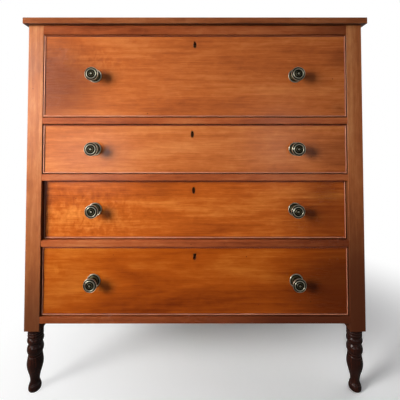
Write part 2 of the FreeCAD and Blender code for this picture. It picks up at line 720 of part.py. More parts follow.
def cock_beads(n):
    width = "2 * half_front"
    height = f"front_high_{n} - front_low_{n}"
    strips = [bead_strip(n, "bottom", width, "-half_front", f"front_low_{n}", 0),
              bead_strip(n, "top", width, "half_front", f"front_high_{n}", 180),
              bead_strip(n, "left", height, "-half_front", f"front_high_{n}", 90),
              bead_strip(n, "right", height, "half_front", f"front_low_{n}", -90)]
    return group(f"CockBeads_{n}", strips)


ROSETTE = [
    ("stem_bore", 0),
    ("rosette_radius", 0),
    ("rosette_radius", "rosette_edge"),
    ("hub_radius", "hub_height"),
    ("stem_bore", "hub_height"),
]
KNOB = [
    (0, "hub_height"),
    ("waist_radius", "hub_height"),
    ("waist_radius", "waist_high"),
    ("face_radius", "face_edge"),
    ("face_rim", "knob_reach"),
    (0, "knob_reach"),
]


def turned_brass(n, side, name, corners):
    """An outline turned about the axis of one knob, with its heights towards the front."""
    body = doc.addObject("PartDesign::Body", f"{name}_{n}_{side}")
    turning(body, f"{name}_{n}_{side}_turned", corners)
    turn(body, (1, 0, 0), 90)
    place(body, KNOB_PLACE[side], f"face_{n}", f"knob_level_{n}")
    return body


def knob(n, side):
    """A knob, which stands on its rosette, and the stem that its nut draws up from inside."""
    stem = bar(f"Stem_{n}_{side}", KNOB_PLACE[side],
               (f"face_{n} - waist_high", f"shoulder_{n} + stem_tail"), f"knob_level_{n}", "stem_radius")
    return fuse(f"Knob_{n}_{side}", [turned_brass(n, side, "KnobFace", KNOB), stem])


def drawer(n):
    tails = {side: front_tails(n, side) for side in SIDES}
    rear_tails = {side: back_tails(n, side) for side in SIDES}
    blocks = lock_blocks(n)
    key_way = keyhole(n)
    finish(f"drawer_{n}_front", drawer_front(n, tails["left"] + tails["right"], blocks, key_way))
    for side in SIDES:
        finish(f"drawer_{n}_side_{side}", drawer_side(n, side, tails[side] + rear_tails[side]))
    finish(f"drawer_{n}_back", drawer_back(n, rear_tails["left"] + rear_tails["right"]))
    finish(f"drawer_{n}_bottom", drawer_bottom(n))
    finish(f"drawer_{n}_cock_beads", cock_beads(n), 4)
    finish(f"drawer_{n}_rosettes",
           group(f"Rosettes_{n}", [turned_brass(n, side, "Rosette", ROSETTE) for side in SIDES]), 2)
    finish(f"drawer_{n}_knobs", group(f"Knobs_{n}", [knob(n, side) for side in SIDES]), 2)
    finish(f"drawer_{n}_lock", drawer_lock(n, blocks))
    finish(f"drawer_{n}_lock_bolt", lock_bolt(n))


for n in DRAWERS:
    drawer(n)

doc.recompute()

failed = [item.Label for item in doc.Objects if {"Invalid", "Error"} & set(item.State)]
if failed:
    raise RuntimeError("these objects failed: " + ", ".join(failed))
for item, solids in finished:
    shape = item.Shape
    if shape.isNull() or not shape.isValid() or len(shape.Solids) != solids:
        raise RuntimeError(f"{item.Label} is not {solids} sound solid(s), but {len(shape.Solids)}")

os.makedirs("parts", exist_ok=True)
for item, solids in finished:
    item.Shape.exportStep(f"parts/{item.Label}.step")
print(f"{len(finished)} sub-parts written")
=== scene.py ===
# %% [markdown]
# # A chest of drawers
# This lesson dresses a chest of four drawers. The construction comes from a packed
# model, which we load first: every board, bead, knob and lock is already there at
# its real size. What is left for us is the finish of each surface, and the rounder
# and finer forms, such as the turned feet and the rings of the knobs.

# %% Load the chest
import math

import bmesh
import bpy
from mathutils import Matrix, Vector


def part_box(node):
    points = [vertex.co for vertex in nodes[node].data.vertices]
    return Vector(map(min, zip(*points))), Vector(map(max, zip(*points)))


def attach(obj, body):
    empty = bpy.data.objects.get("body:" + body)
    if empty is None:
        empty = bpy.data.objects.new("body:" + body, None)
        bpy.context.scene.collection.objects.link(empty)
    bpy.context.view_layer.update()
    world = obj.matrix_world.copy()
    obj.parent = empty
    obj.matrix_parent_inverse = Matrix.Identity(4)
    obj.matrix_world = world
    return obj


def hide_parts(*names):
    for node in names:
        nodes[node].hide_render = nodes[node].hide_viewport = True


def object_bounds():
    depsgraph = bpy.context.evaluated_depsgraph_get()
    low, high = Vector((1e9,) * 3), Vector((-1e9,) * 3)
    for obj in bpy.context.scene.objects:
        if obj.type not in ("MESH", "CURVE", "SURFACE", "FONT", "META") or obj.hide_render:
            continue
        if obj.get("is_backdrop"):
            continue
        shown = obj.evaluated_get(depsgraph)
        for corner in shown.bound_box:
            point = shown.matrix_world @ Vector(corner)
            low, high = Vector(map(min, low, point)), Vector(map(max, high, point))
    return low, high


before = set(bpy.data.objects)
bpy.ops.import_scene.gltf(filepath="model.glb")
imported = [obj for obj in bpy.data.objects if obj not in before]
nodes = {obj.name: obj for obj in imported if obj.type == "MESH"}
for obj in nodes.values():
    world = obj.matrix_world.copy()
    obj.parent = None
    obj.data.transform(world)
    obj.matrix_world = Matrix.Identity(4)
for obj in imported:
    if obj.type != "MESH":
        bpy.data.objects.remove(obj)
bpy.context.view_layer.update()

MM = 0.001
DRAWERS = (1, 2, 3, 4)
scene = bpy.context.scene
print("loaded", len(nodes), "pieces")

# %% [markdown]
# ## Camera
# The photograph looks straight at the front from close by, a little above the
# middle, with the lens held almost level. A wide lens and a downward shift give the
# same picture: the feet are far below the lens, yet the posts stay nearly upright.

# %% Camera
LENS, SENSOR_WIDTH = 25.28, 36
CAMERA_PLACE = (0.0141, -1.080, 0.7552)
CAMERA_PITCH = 91.61
SHIFT_RIGHT, SHIFT_UP = 0.001, -0.171

view = bpy.data.cameras.new("camera")
view.lens = LENS
view.sensor_width = SENSOR_WIDTH
view.shift_x = SHIFT_RIGHT
view.shift_y = SHIFT_UP
camera = bpy.data.objects.new("camera", view)
camera.location = CAMERA_PLACE
camera.rotation_euler = (math.radians(CAMERA_PITCH), 0, 0)
scene.collection.objects.link(camera)
scene.camera = camera
print("camera", CAMERA_PLACE, "lens", LENS)

# %% [markdown]
# ## Writing a material as a sum
# A procedural material is a tree of small nodes. Laying each one by hand is slow to
# read, so a small class wraps one output of the tree and lets us write sums with it.

# %% Sums on outputs
class Wire:
    """One output of a tree of nodes, on which sums can be written."""

    def __init__(self, tree, socket):
        self.tree = tree
        self.socket = socket

    def sum(self, operation, first, second):
        return self.tree.add("ShaderNodeMath", {"operation": operation}, [first, second])

    def __add__(self, other):
        return self.sum("ADD", self, other)

    def __sub__(self, other):
        return self.sum("SUBTRACT", self, other)

    def __rsub__(self, other):
        return self.sum("SUBTRACT", other, self)

    def __mul__(self, other):
        return self.sum("MULTIPLY", self, other)

    def __truediv__(self, other):
        return self.sum("DIVIDE", self, other)

    __radd__ = __add__
    __rmul__ = __mul__


# %% [markdown]
# ## Adding any other node
# Materials and Geometry Nodes are filled in the same way, so one method serves both.
# It takes the node's type, its settings, and a value or a wire for each input. The
# settings go first, because some of them change which inputs a node has.

# %% Trees of nodes
class Tree:
    """A tree of nodes of one family."""

    def __init__(self, graph, family):
        self.graph = graph
        self.family = family

    def add(self, kind, settings=None, inputs=(), output=0):
        """Add a node, set it up, and give values or wires to its inputs."""
        known = kind.startswith(("ShaderNode", "FunctionNode", "NodeGroup"))
        node = self.graph.nodes.new(kind if known else self.family + kind)
        for name, value in (settings or {}).items():
            if name == "stops":
                self.set_stops(node.color_ramp.elements, value)
            else:
                setattr(node, name, value)
        pairs = inputs.items() if isinstance(inputs, dict) else enumerate(inputs)
        for key, value in pairs:
            if isinstance(value, Wire):
                self.graph.links.new(value.socket, node.inputs[key])
            elif isinstance(value, tuple) and node.inputs[key].type == "RGBA":
                node.inputs[key].default_value = (*value, 1)
            else:
                node.inputs[key].default_value = value
        return Wire(self, node.outputs[output]) if node.outputs else None

    def set_stops(self, stops, wanted):
        """Give a ramp its places and colours."""
        while len(stops) < len(wanted):
            stops.new(0.5)
        for stop, (position, colour) in zip(stops, wanted):
            stop.position = position
            stop.color = (*colour, 1)


# %% [markdown]
# ## Words that every finish uses
# Some patterns come back in every finish: a point on the piece, a noise, a soft step
# between two levels, a mix of two colours, the larger of two masks. Each gets a plain
# name here, so that the recipes further down stay short. Every point is read in the
# piece's own coordinates, and so the figure of the wood moves with its board.

# %% Finishes
class Finish(Tree):
    """A material, or the world, under construction."""

    def __init__(self, owner):
        owner.use_nodes = True
        owner.node_tree.nodes.clear()
        super().__init__(owner.node_tree, "ShaderNode")
        self.owner = owner

    def place(self, scale=(1, 1, 1), shift=(0, 0, 0)):
        """The point on the piece, stretched and moved."""
        point = self.add("TexCoord", output="Object")
        return self.add("Mapping", None, {"Vector": point, "Scale": scale, "Location": shift})

    def part(self, point, axis):
        """One of the three numbers of a point."""
        return self.add("SeparateXYZ", None, [point], axis)

    def ray(self, kind):
        """One where the light arrives in this way, and nought elsewhere."""
        return self.add("LightPath", output=f"Is {kind} Ray")

    def noise(self, point, detail, roughness, distortion=0.0):
        return self.add("TexNoise", None, {"Vector": point, "Scale": 1.0, "Detail": detail,
                                           "Roughness": roughness, "Distortion": distortion})

    def speckle(self, per_metre, detail, roughness, shift=(0, 0, 0)):
        """Noise with the same scale in every direction."""
        return self.noise(self.place((per_metre,) * 3, shift), detail, roughness)

    def ramp(self, factor, stops):
        return self.add("ValToRGB", {"stops": stops}, [factor])

    def level(self, value, low, high, out_low=0, out_high=1):
        """Stretch the range from low to high over the range that comes out."""
        return self.add("MapRange", {"interpolation_type": "SMOOTHSTEP"},
                        {"Value": value, "From Min": low, "From Max": high,
                         "To Min": out_low, "To Max": out_high})

    def blend(self, factor, first, second):
        """Mix two colours."""
        return self.add("Mix", {"data_type": "RGBA"}, {0: factor, 6: first, 7: second}, 2)

    def either(self, first, second):
        """The larger of two masks."""
        return self.add("Math", {"operation": "MAXIMUM"}, [first, second])

    def away(self, centre, scale=(1, 1, 1)):
        """Distance from a place, measured along stretched axes."""
        shift = tuple(-c * k for c, k in zip(centre, scale))
        return self.add("VectorMath", {"operation": "LENGTH"}, [self.place(scale, shift)], 1)

    def skin(self, colour, roughness, bump, depth, **constants):
        """Finish the material with one surface shader."""
        normal = self.add("Bump", None, {"Height": bump, "Distance": depth})
        inputs = {"Base Color": colour, "Roughness": roughness, "Normal": normal}
        for name, value in constants.items():
            inputs[name.replace("_", " ")] = value
        surface = self.add("BsdfPrincipled", None, inputs)
        self.add("OutputMaterial", None, {"Surface": surface})
        return self.owner


def new_finish(name):
    return Finish(bpy.data.materials.new(name))


def linear(red, green, blue):
    """A colour as a screen shows it, 0 to 255, in the light that Blender works in."""
    return tuple(((v / 255 + 0.055) / 1.055) ** 2.4 if v > 10 else v / 255 / 12.92
                 for v in (red, green, blue))


# %% [markdown]
# ## Floor
# A plain pale floor runs back and curves up into a backdrop. One sheet does both, so
# no line shows where the floor ends.

# %% Floor and backdrop
FLOOR_HALF, FLOOR_NEAR, SWEEP_START = 6.0, -6.0, 2.2
SWEEP_RADIUS, SWEEP_STEPS, WALL_HEIGHT = 1.5, 12, 6.0


def sweep_floor():
    """A sheet that lies flat under the chest and curves up behind it."""
    side_line = [(FLOOR_NEAR, 0.0)]
    for step in range(SWEEP_STEPS + 1):
        angle = math.radians(90 * step / SWEEP_STEPS)
        back = SWEEP_START + SWEEP_RADIUS * math.sin(angle)
        side_line.append((back, SWEEP_RADIUS * (1 - math.cos(angle))))
    side_line.append((SWEEP_START + SWEEP_RADIUS, WALL_HEIGHT))
    mesh = bpy.data.meshes.new("floor")
    points = [(x, y, z) for y, z in side_line for x in (-FLOOR_HALF, FLOOR_HALF)]
    faces = [(i, i + 1, i + 3, i + 2) for i in range(0, len(points) - 2, 2)]
    mesh.from_pydata(points, [], faces)
    mesh.shade_smooth()
    floor = bpy.data.objects.new("floor", mesh)
    scene.collection.objects.link(floor)
    floor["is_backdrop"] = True
    return floor


floor = sweep_floor()
print("floor of", len(floor.data.polygons), "strips")

# %% [markdown]
# ## Paper
# Close to the chest the floor is matt paper that takes the shadow, and further off
# it glows plain white. The wood must not be filled with white light from below, so
# only the camera sees the paper pale: light that bounces off it meets a darker grey.
# Polish mirrors the paper behind the chest, and in a mirror image its glow is less.

# %% Finish of the floor
SHADOW_PLACE = (0.32, 0.0, 0.0)
FADE_START, FADE_END, PAPER_GLOW = 0.25, 1.12, 0.02
BEHIND_START, BEHIND_END = 0.2, 0.8
PAPER_PALE, PAPER_BOUNCE = (1.45, 1.47, 1.50), linear(120, 118, 116)
WHITE, MIRRORED = (1.0, 1.0, 1.0), 0.3


def mirror_ray(finish):
    """One where the light comes by way of polish or glass."""
    return finish.either(finish.ray("Glossy"), finish.ray("Transmission"))


def white_strength(finish):
    """Full strength to the camera, and less in a mirror image."""
    return finish.ray("Camera") * (1 - MIRRORED) + MIRRORED


def floor_finish():
    """Paper that shows a soft shadow near the chest and is plain white further off."""
    paper = new_finish("floor_paper")
    camera_ray = paper.ray("Camera")
    plain = paper.level(paper.away(SHADOW_PLACE), FADE_START, FADE_END, PAPER_GLOW, 1.0)
    behind = paper.level(paper.part(paper.place(), "Y"), BEHIND_START, BEHIND_END)
    tone = paper.blend(camera_ray, PAPER_BOUNCE, PAPER_PALE)
    matt = paper.add("BsdfDiffuse", None, {"Color": tone})
    glow = paper.add("Emission", None, {"Color": WHITE, "Strength": white_strength(paper)})
    glowing = plain * camera_ray + behind * mirror_ray(paper)
    surface = paper.add("MixShader", None, [glowing, matt, glow])
    paper.add("OutputMaterial", None, {"Surface": surface})
    return paper.owner


floor.data.materials.append(floor_finish())
print("paper on the floor")

# %% [markdown]
# ## Light
# The light in the photograph looks like a window's: it comes from the left, a little
# above the middle of the chest, and dies away towards the far lower corner. One soft
# lamp with a narrowed beam does that, and throws the shadows of the knobs to the
# right. Its mirror image would burn out the polish in a slanting view, so it gives
# none, and a second, weaker lamp a little further round gives the glints alone. Two
# weak panels behind the camera lay a pale sheen on the polish.

# %% Lamps
WINDOW = dict(aim=(-0.34, -0.23, 0.76), beam=66, colour=(1.0, 0.985, 0.96))


def lamp(name, place, aim, size, power, beam=180, colour=WHITE, tall=None, diffuse=True, glossy=True):
    """A soft panel that faces a point; the beam is the angle that its light keeps to."""
    light = bpy.data.lights.new(name, "AREA")
    light.shape = "DISK" if tall is None else "ELLIPSE"
    light.size = size
    if tall is not None:
        light.size_y = tall
    light.energy = power
    light.color = colour
    light.spread = math.radians(beam)
    item = bpy.data.objects.new(name, light)
    item.location = place
    item.visible_diffuse = diffuse
    item.visible_glossy = glossy
    item.rotation_euler = (Vector(aim) - Vector(place)).to_track_quat("-Z", "Y").to_euler()
    scene.collection.objects.link(item)


lamp("window", (-1.63, -1.23, 1.10), size=1.0, power=10.2, glossy=False, **WINDOW)
lamp("window_glint", (-1.78, -1.13, 1.10), size=0.9, power=3.2, diffuse=False, **WINDOW)
lamp("sheen", (-1.35, -2.8, 0.56), aim=(-0.3, -0.23, 0.71), size=0.95, power=4.6, tall=0.6)
lamp("doorway", (0.96, -2.8, 0.70), aim=(0.3, -0.23, 0.75), size=0.5, power=1.6, tall=0.8)
print("four lamps")

# %% [markdown]
# ## Room
# What the lamps don't reach is lit by the room. It is dim behind the camera and a
# little brighter on the right. Behind the chest it is bright, so its back can be
# seen too. The camera sees plain white all round, and so does polish that mirrors
# what is behind the chest, though less of it.

# %% World
ROOM_FRONT, ROOM_BACK, FROM_RIGHT = 0.08, 1.0, 0.35
TURN_START, TURN_END = -0.15, 0.6
MIRROR_START, MIRROR_END = 0.0, 0.5


def room_finish():
    """Plain white behind the chest; dim in front of it."""
    room = Finish(bpy.data.worlds.new("world"))
    direction = room.add("TexCoord", output="Generated")
    back = room.part(direction, "Y")
    right = room.part(direction, "X")
    glow = room.level(back + right * FROM_RIGHT, TURN_START, TURN_END, ROOM_FRONT, ROOM_BACK)
    mirrored = mirror_ray(room) * room.level(back, MIRROR_START, MIRROR_END)
    shown = room.either(room.ray("Camera"), mirrored)
    ambient = room.add("Background", None, {"Color": WHITE, "Strength": glow})
    white = room.add("Background", None, {"Color": WHITE, "Strength": white_strength(room)})
    surface = room.add("MixShader", None, [shown, ambient, white])
    room.add("OutputWorld", None, {"Surface": surface})
    return room.owner


scene.world = room_finish()
scene.view_settings.view_transform = "Standard"
print("room from", ROOM_FRONT, "in front to", ROOM_BACK, "behind")

# %% [markdown]
# ## Cherry
# Cherry is a close-grained wood that darkens to red-brown. Its figure is quiet:
# broad zones of tone, growth lines, fine streaks, cloudy patches, hair-thin fibres
# and short dark pores, all stretched along the grain. Each is a pattern with its own
# stretch, so we give each one its scale along and across the grain, per metre. A
# back made of several planks takes another piece of the tree for each plank.

# %% Figure of the grain
ZONES = dict(along=2.2, wide=11.0, detail=3, roughness=0.55, distortion=0.6)
FINE = dict(along=5.0, wide=120.0, detail=5, roughness=0.78, distortion=0.3)
CLOUDS = dict(along=26.0, wide=60.0, detail=3, roughness=0.6, distortion=0.5)
HAIRS = dict(along=30.0, wide=1300.0, detail=3, roughness=0.6)
RINGS = {"Scale": 4.2, "Distortion": 4.0, "Detail": 2, "Detail Scale": 0.7}
RINGS_ALONG, RINGS_WIDE = 0.8, 5.0
SEED_STEPS = (3.7, 1.9, 2.3)
PLANK_DEEP, PLANK_UP = 40, 90


class Grain(Finish):
    """Bare wood: grain is the axis it runs along, and seed chooses its place in the tree."""

    def __init__(self, name, grain, tones, seed, planks=None):
        super().__init__(bpy.data.materials.new(name))
        self.grain = grain
        self.dark, self.middle, self.light = tones
        self.shift = tuple(seed * step for step in SEED_STEPS)
        self.across = self.part(self.place(), "X")
        self.upward = self.part(self.place(), "Z")
        self.planks = planks
        if planks:
            start, width = planks
            self.plank = (self.across - start) / width
            number = self.add("Math", {"operation": "FLOOR"}, [self.plank])
            self.own = self.add("TexWhiteNoise", {"noise_dimensions": "1D"}, {"W": number}, "Value")

    def point(self, along, wide):
        """The point on the board, with one scale along the grain and another across it."""
        scale = tuple(along if axis == self.grain else wide for axis in "xyz")
        return self.place(scale, self.shift)

    def figure(self, along, wide, detail, roughness, distortion=0.0):
        """Noise stretched along the grain, and different in each plank."""
        point = self.point(along, wide)
        if self.planks:
            jump = self.add("CombineXYZ", None, [0, self.own * PLANK_DEEP, self.own * PLANK_UP])
            point = self.add("VectorMath", {"operation": "ADD"}, [point, jump])
        return self.noise(point, detail, roughness, distortion)

    def growth(self):
        """The lines of the yearly rings."""
        return self.add("TexWave", {"wave_type": "RINGS", "rings_direction": self.grain.upper()},
                        {"Vector": self.point(RINGS_ALONG, RINGS_WIDE), **RINGS})


# %% [markdown]
# ## Marks in the wood
# A plain figure looks too clean. Real cherry has short dark pores and a few pits
# where a nail or a key has struck. Dirt stays in joints, and the hollows take both dirt
# and painted shade. Painted shade also darkens the low parts, the faces that get little
# light, and the keyhole and the wood round it. Each mark is a mask from nought to one.

# %% Pores, pits, dirt and painted shade
PORES = dict(along=130.0, wide=2300.0, detail=2, roughness=0.5)
PORE_RANGE, PORE_TONE, PORE_DEPTH = (0.64, 0.78), 0.45, 0.6
PITS, PIT_RANGE, PIT_TONE = (16, 16, 16), (0.018, 0.034), 0.8
GRIME_AND_SHADE = linear(40, 17, 10)
HOLLOW_RANGE, HOLLOW_BLUR, SHADE_BLUR, INNER_SHADE = (0.3, 0.9), 0.4, 0.3, 0.9
RIM_STRETCH, RIM_RANGE = (1, 0, 0.52), (4.0 * MM, 6.2 * MM)
JOINT_RANGE = (0.006, 0.02)
SPOT_CORE, SPOT_EDGE = 0.4, 0.05


class Board(Grain):
    """Wood with its pores and its marks."""

    def near(self, centre, reach, blur, stretch):
        """One at a place, falling to nought at its reach, with a ragged edge."""
        distance = self.away(centre, (1, 1, stretch)) + blur
        return self.level(distance, reach * SPOT_CORE, reach + SPOT_EDGE, 1, 0)

    def pored(self, colour):
        """Short dark pores and a few pits; also how deep they are."""
        pores = self.level(self.figure(**PORES), *PORE_RANGE)
        pits = self.add("TexVoronoi", None, {"Vector": self.place(PITS, self.shift), "Scale": 1.0})
        pit = self.level(pits, *PIT_RANGE, 1, 0)
        colour = self.blend(pores * PORE_TONE, colour, self.dark)
        return self.blend(pit * PIT_TONE, colour, GRIME_AND_SHADE), pores * PORE_DEPTH + pit

    def dirt_and_painted_shade(self, crest, clouds, zones, shade, inner, keyhole):
        """Dirt in the joints; painted shade on low parts, hidden faces and round the keyhole; both in
        hollows.
        """
        # Hollows: partly dirt, partly painted shade in creases such as beside a bead's nose.
        dirt_and_shade = self.level(crest * -1 + clouds * HOLLOW_BLUR, *HOLLOW_RANGE)
        # Painted shade: darker towards the bottom of the board.
        if shade:
            low, high, amount = shade
            height = self.upward + zones * (SHADE_BLUR * (high - low))
            dirt_and_shade = self.either(dirt_and_shade, self.level(height, low, high, amount, 0))
        # Painted shade on the inner faces of the posts, which get little light.
        if inner:
            side = self.add("Math", {"operation": "ABSOLUTE"}, [self.across])
            dirt_and_shade = self.either(dirt_and_shade, self.level(side, *inner, INNER_SHADE, 0))
        # Painted shade in and round the keyhole.
        if keyhole:
            rim = self.away(keyhole, RIM_STRETCH)
            dirt_and_shade = self.either(dirt_and_shade, self.level(rim, *RIM_RANGE, 1, 0))
        if self.planks:
            joint = self.add("Math", {"operation": "PINGPONG"}, [self.plank, 0.5])
            dirt_and_shade = self.either(dirt_and_shade, self.level(joint, *JOINT_RANGE, 1, 0))
        return dirt_and_shade


# %% [markdown]
# ## Adding the layers up
# A weight says how far each layer moves the tone between a dark, a middle and a
# light colour. Then come the marks: a curl, which is a ripple across the grain;
# darker patches round given places, which on the posts and rails are painted shade;
# dirt and painted shade in the hollows and other darkened parts; and a paler tone on
# crests, partly wear and partly a painted highlight. The fibres and the pores also give
# a slight relief, and the polish is duller where it is rubbed, dirty or painted with shade.

# %% Wood
LAYERS = (0.7, 0.036, 0.55, 0.3, 0.3)
BANDED_LAYERS = (0.95, 0.036, 0.34, 0.18, 0.25)
TONE_STOPS = (0.22, 0.5, 0.78)
HAIR_RELIEF, FINE_RELIEF, RELIEF = 0.45, 0.4, 0.3 * MM
RIPPLE = dict(along=62.0, wide=42.0, detail=2, roughness=0.55, distortion=0.8)
RIPPLE_MEAN, RIPPLE_RELIEF, CURL_BLUR, CURL_STRETCH = 0.46, 0.3, 0.2, 2.2
STAIN_AND_SHADE_DEPTH, STAIN_AND_SHADE_BLUR, STAIN_AND_SHADE_STRETCH = 0.62, 0.1, 1.4
PLANK_CONTRAST = 0.22
WEAR_AND_HIGHLIGHT_RANGE, WEAR_AND_HIGHLIGHT_BLUR, WEAR_AND_HIGHLIGHT_TONE, DIRT_AND_SHADE_TONE = (0.5, 1.3), 0.6, 0.6, 0.86
RUBBED, RUBBED_RANGE = dict(per_metre=7, detail=5, roughness=0.65), (0.45, 0.75)
HAIR_DULL, RUBBED_DULL, DIRT_AND_SHADE_DULL, STAIN_AND_SHADE_DULL, POLISHED = 0.08, 0.07, 0.3, 0.12, -0.06
COAT_ROUGHNESS, LACQUER_INDEX = 0.2, 1.42


def wood(name, grain, tones, seed, gloss=0.20, coat=0.1, weights=LAYERS, curl=None, stains_and_shade=(),
         shade=None, inner=None, planks=None, keyhole=None):
    """The finish of one kind of board; gloss is its roughness, from nought for a mirror."""
    board = Board(name, grain, tones, seed, planks)
    zones, fine, clouds, hairs = [board.figure(**layer) for layer in (ZONES, FINE, CLOUDS, HAIRS)]
    tone = (1 - sum(weights)) / 2
    for layer, weight in zip((zones, board.growth(), fine, clouds, hairs), weights):
        tone = layer * weight + tone
    height = hairs * HAIR_RELIEF + fine * FINE_RELIEF
    if curl:
        amount, centre, reach = curl
        ripple = (board.figure(**RIPPLE) - RIPPLE_MEAN) * amount
        tone = tone + ripple * board.near(centre, reach, zones * CURL_BLUR, CURL_STRETCH)
        height = height + ripple * RIPPLE_RELIEF
    if planks:
        tone = tone + (board.own - 0.5) * PLANK_CONTRAST
    colour = board.ramp(tone, list(zip(TONE_STOPS, (board.dark, board.middle, board.light))))
    stain_and_shade_mask = 0.0
    # Darker patches round given places; on the posts and rails they are painted shade.
    for centre, reach, amount in stains_and_shade:
        near = board.near(centre, reach, fine * STAIN_AND_SHADE_BLUR, STAIN_AND_SHADE_STRETCH) * amount
        colour = board.blend(near, colour, tuple(STAIN_AND_SHADE_DEPTH * value for value in board.dark))
        stain_and_shade_mask = near + stain_and_shade_mask
    colour, depth = board.pored(colour)
    crest = board.add("Attribute", {"attribute_name": "crest"}, output="Fac")
    dirt_and_shade = board.dirt_and_painted_shade(crest, clouds, zones, shade, inner, keyhole)
    # Crests get paler, partly as wear and partly as a painted highlight.
    wear_and_highlight = board.level(crest + clouds * WEAR_AND_HIGHLIGHT_BLUR, *WEAR_AND_HIGHLIGHT_RANGE)
    colour = board.blend(wear_and_highlight * WEAR_AND_HIGHLIGHT_TONE, colour, board.light)
    # The dirt and the painted shade of the mask darken the colour.
    colour = board.blend(dirt_and_shade * DIRT_AND_SHADE_TONE, colour, GRIME_AND_SHADE)
    rubbed = board.level(board.speckle(**RUBBED, shift=board.shift), *RUBBED_RANGE)
    roughness = hairs * HAIR_DULL + rubbed * RUBBED_DULL + dirt_and_shade * DIRT_AND_SHADE_DULL + stain_and_shade_mask * STAIN_AND_SHADE_DULL
    roughness = roughness + (gloss + POLISHED)
    return board.skin(colour, roughness, height - depth, RELIEF,
                      Coat_Weight=coat, Coat_Roughness=COAT_ROUGHNESS, IOR=LACQUER_INDEX)


# %% [markdown]
# ## The woods of the case
# Each board has its own three tones, dark to light. A stain is a place in metres, a
# reach and a strength; on the posts and rails these patches are painted shade. A shade
# darkens a board from one height down to another, as painted shade. The underside of
# the top and the inner faces of the posts get little light, so their colour is painted
# nearly black as shade and their polish is duller. The top rail, in the shadow of the
# top, has darker copies of the rail's tones. Inside, plain poplar is left bare.

# %% Finishes of the case
POST_TONES = (linear(128, 61, 28), linear(175, 100, 53), linear(208, 142, 90))
RAIL_TONES = (linear(120, 52, 26), linear(172, 88, 46), linear(202, 124, 74))
# Darker copies of the rail's tones, as painted shade under the top's overhang.
TOP_RAIL_SHADED_TONES = (linear(110, 47, 22), linear(157, 79, 40), linear(190, 114, 65))
SIDE_TONES = (linear(104, 48, 26), linear(150, 78, 42), linear(184, 112, 68))
TOP_TONES = (linear(96, 46, 24), linear(146, 80, 44), linear(182, 116, 74))
FOOT_TONES = (linear(24, 8, 5), linear(48, 19, 11), linear(84, 42, 24))
POPLAR_TONES = (linear(142, 100, 66), linear(188, 142, 100), linear(212, 172, 130))
# Patches of painted shade on the rails and posts, near their lower corners and at the top right of the
# rails.
RAIL_PAINTED_SHADE = [((0.47, -0.21, 0.24), 0.52, 0.9), ((0.47, -0.21, 1.09), 0.2, 0.5)]
POST_PAINTED_SHADE = [((0.49, -0.22, 0.2), 0.62, 0.9), ((-0.49, -0.22, 0.14), 0.40, 0.7)]
DULL = dict(gloss=0.36, coat=0.04)
BARE = dict(tones=POPLAR_TONES, gloss=0.62, coat=0.0)
PLANK_COUNT = 5

under_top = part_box("top_board")[0].z
inner_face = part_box("post_front_right")[0].x
boards_low, boards_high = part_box("back_boards")
plank_width = (boards_high.x - boards_low.x) / PLANK_COUNT
# Painted shade: the underside of the top and the lower edge of its front, and the inner faces of the posts,
# are darkened.
TOP_SHADE = (under_top - 0.5 * MM, under_top + 4.5 * MM, 0.95)
POST_INNER = (inner_face - 0.4 * MM, inner_face + 0.8 * MM)

# The shade given to the rails and posts is painted shade, darker towards the bottom.
finishes = {
    "top_board": wood("cherry_top", "x", TOP_TONES, 0.3, shade=TOP_SHADE),
    "rails": wood("cherry_rails", "x", RAIL_TONES, 1.1, shade=(0.1, 0.62, 0.35), stains_and_shade=RAIL_PAINTED_SHADE),
    "top_rail": wood("cherry_top_rail", "x", TOP_RAIL_SHADED_TONES, 1.4, stains_and_shade=RAIL_PAINTED_SHADE),
    "sides": wood("cherry_sides", "z", SIDE_TONES, 2.2, **DULL),
    "posts": wood("cherry_posts", "z", POST_TONES, 3.1, shade=(0.1, 0.95, 0.4), inner=POST_INNER,
                  stains_and_shade=POST_PAINTED_SHADE, **DULL),
    "feet": wood("cherry_feet", "z", FOOT_TONES, 3.7, gloss=0.24, coat=0.3),
    "poplar_x": wood("poplar_across", "x", seed=4.2, **BARE),
    "poplar_y": wood("poplar_deep", "y", seed=5.3, **BARE),
    "poplar_z": wood("poplar_upright", "z", seed=6.4, planks=(boards_low.x, plank_width), **BARE),
}
print("made", len(finishes), "woods for the case")

# %% [markdown]
# ## The woods of the drawers
# The four fronts were sawn from different boards and each has aged in its own way,
# so each gets its own tones and curl. Each also gets darker patches. The curl and the
# patches are placed by how far across and how far up they lie, and the frame tells how
# far forward the front stands. The frame also tells where the lock is, and with it
# the keyhole. The beads are redder.

# %% Finishes of the drawers
KEYHOLE_DROP = 29.5 * MM
BEAD_TONES = (linear(110, 50, 34), linear(168, 86, 58), linear(232, 166, 134))
# Darker copies of the bead's tones, as painted shade on the strip on top.
BEAD_SHADED_TONES = (linear(70, 28, 18), linear(118, 54, 32), linear(160, 84, 56))
FRONTS = {
    1: dict(seed=8.4, tones=(linear(138, 64, 30), linear(186, 98, 44), linear(214, 130, 70)),
            curl=(0.7, (-0.36, 0.98), 0.26),
            stains_and_shade=[((-0.45, 0.93), 0.24, 0.8), ((0.44, 0.85), 0.05, 0.7), ((0.45, 1.0), 0.08, 0.5)]),
    2: dict(seed=9.7, tones=(linear(148, 72, 32), linear(194, 106, 50), linear(222, 140, 80)),
            stains_and_shade=[((0.45, 0.72), 0.12, 0.5)]),
    3: dict(seed=11.1, tones=(linear(142, 60, 16), linear(192, 94, 28), linear(228, 138, 60)),
            curl=(0.6, (-0.34, 0.52), 0.34),
            stains_and_shade=[((0.42, 0.52), 0.20, 0.6), ((0.40, 0.61), 0.10, 0.5), ((-0.1, 0.61), 0.08, 0.4)]),
    4: dict(seed=12.5, tones=(linear(124, 47, 7), linear(178, 82, 16), linear(218, 126, 44)),
            curl=(0.4, (-0.42, 0.36), 0.16), stains_and_shade=[((0.46, 0.31), 0.28, 0.85)],
            weights=BANDED_LAYERS),
}


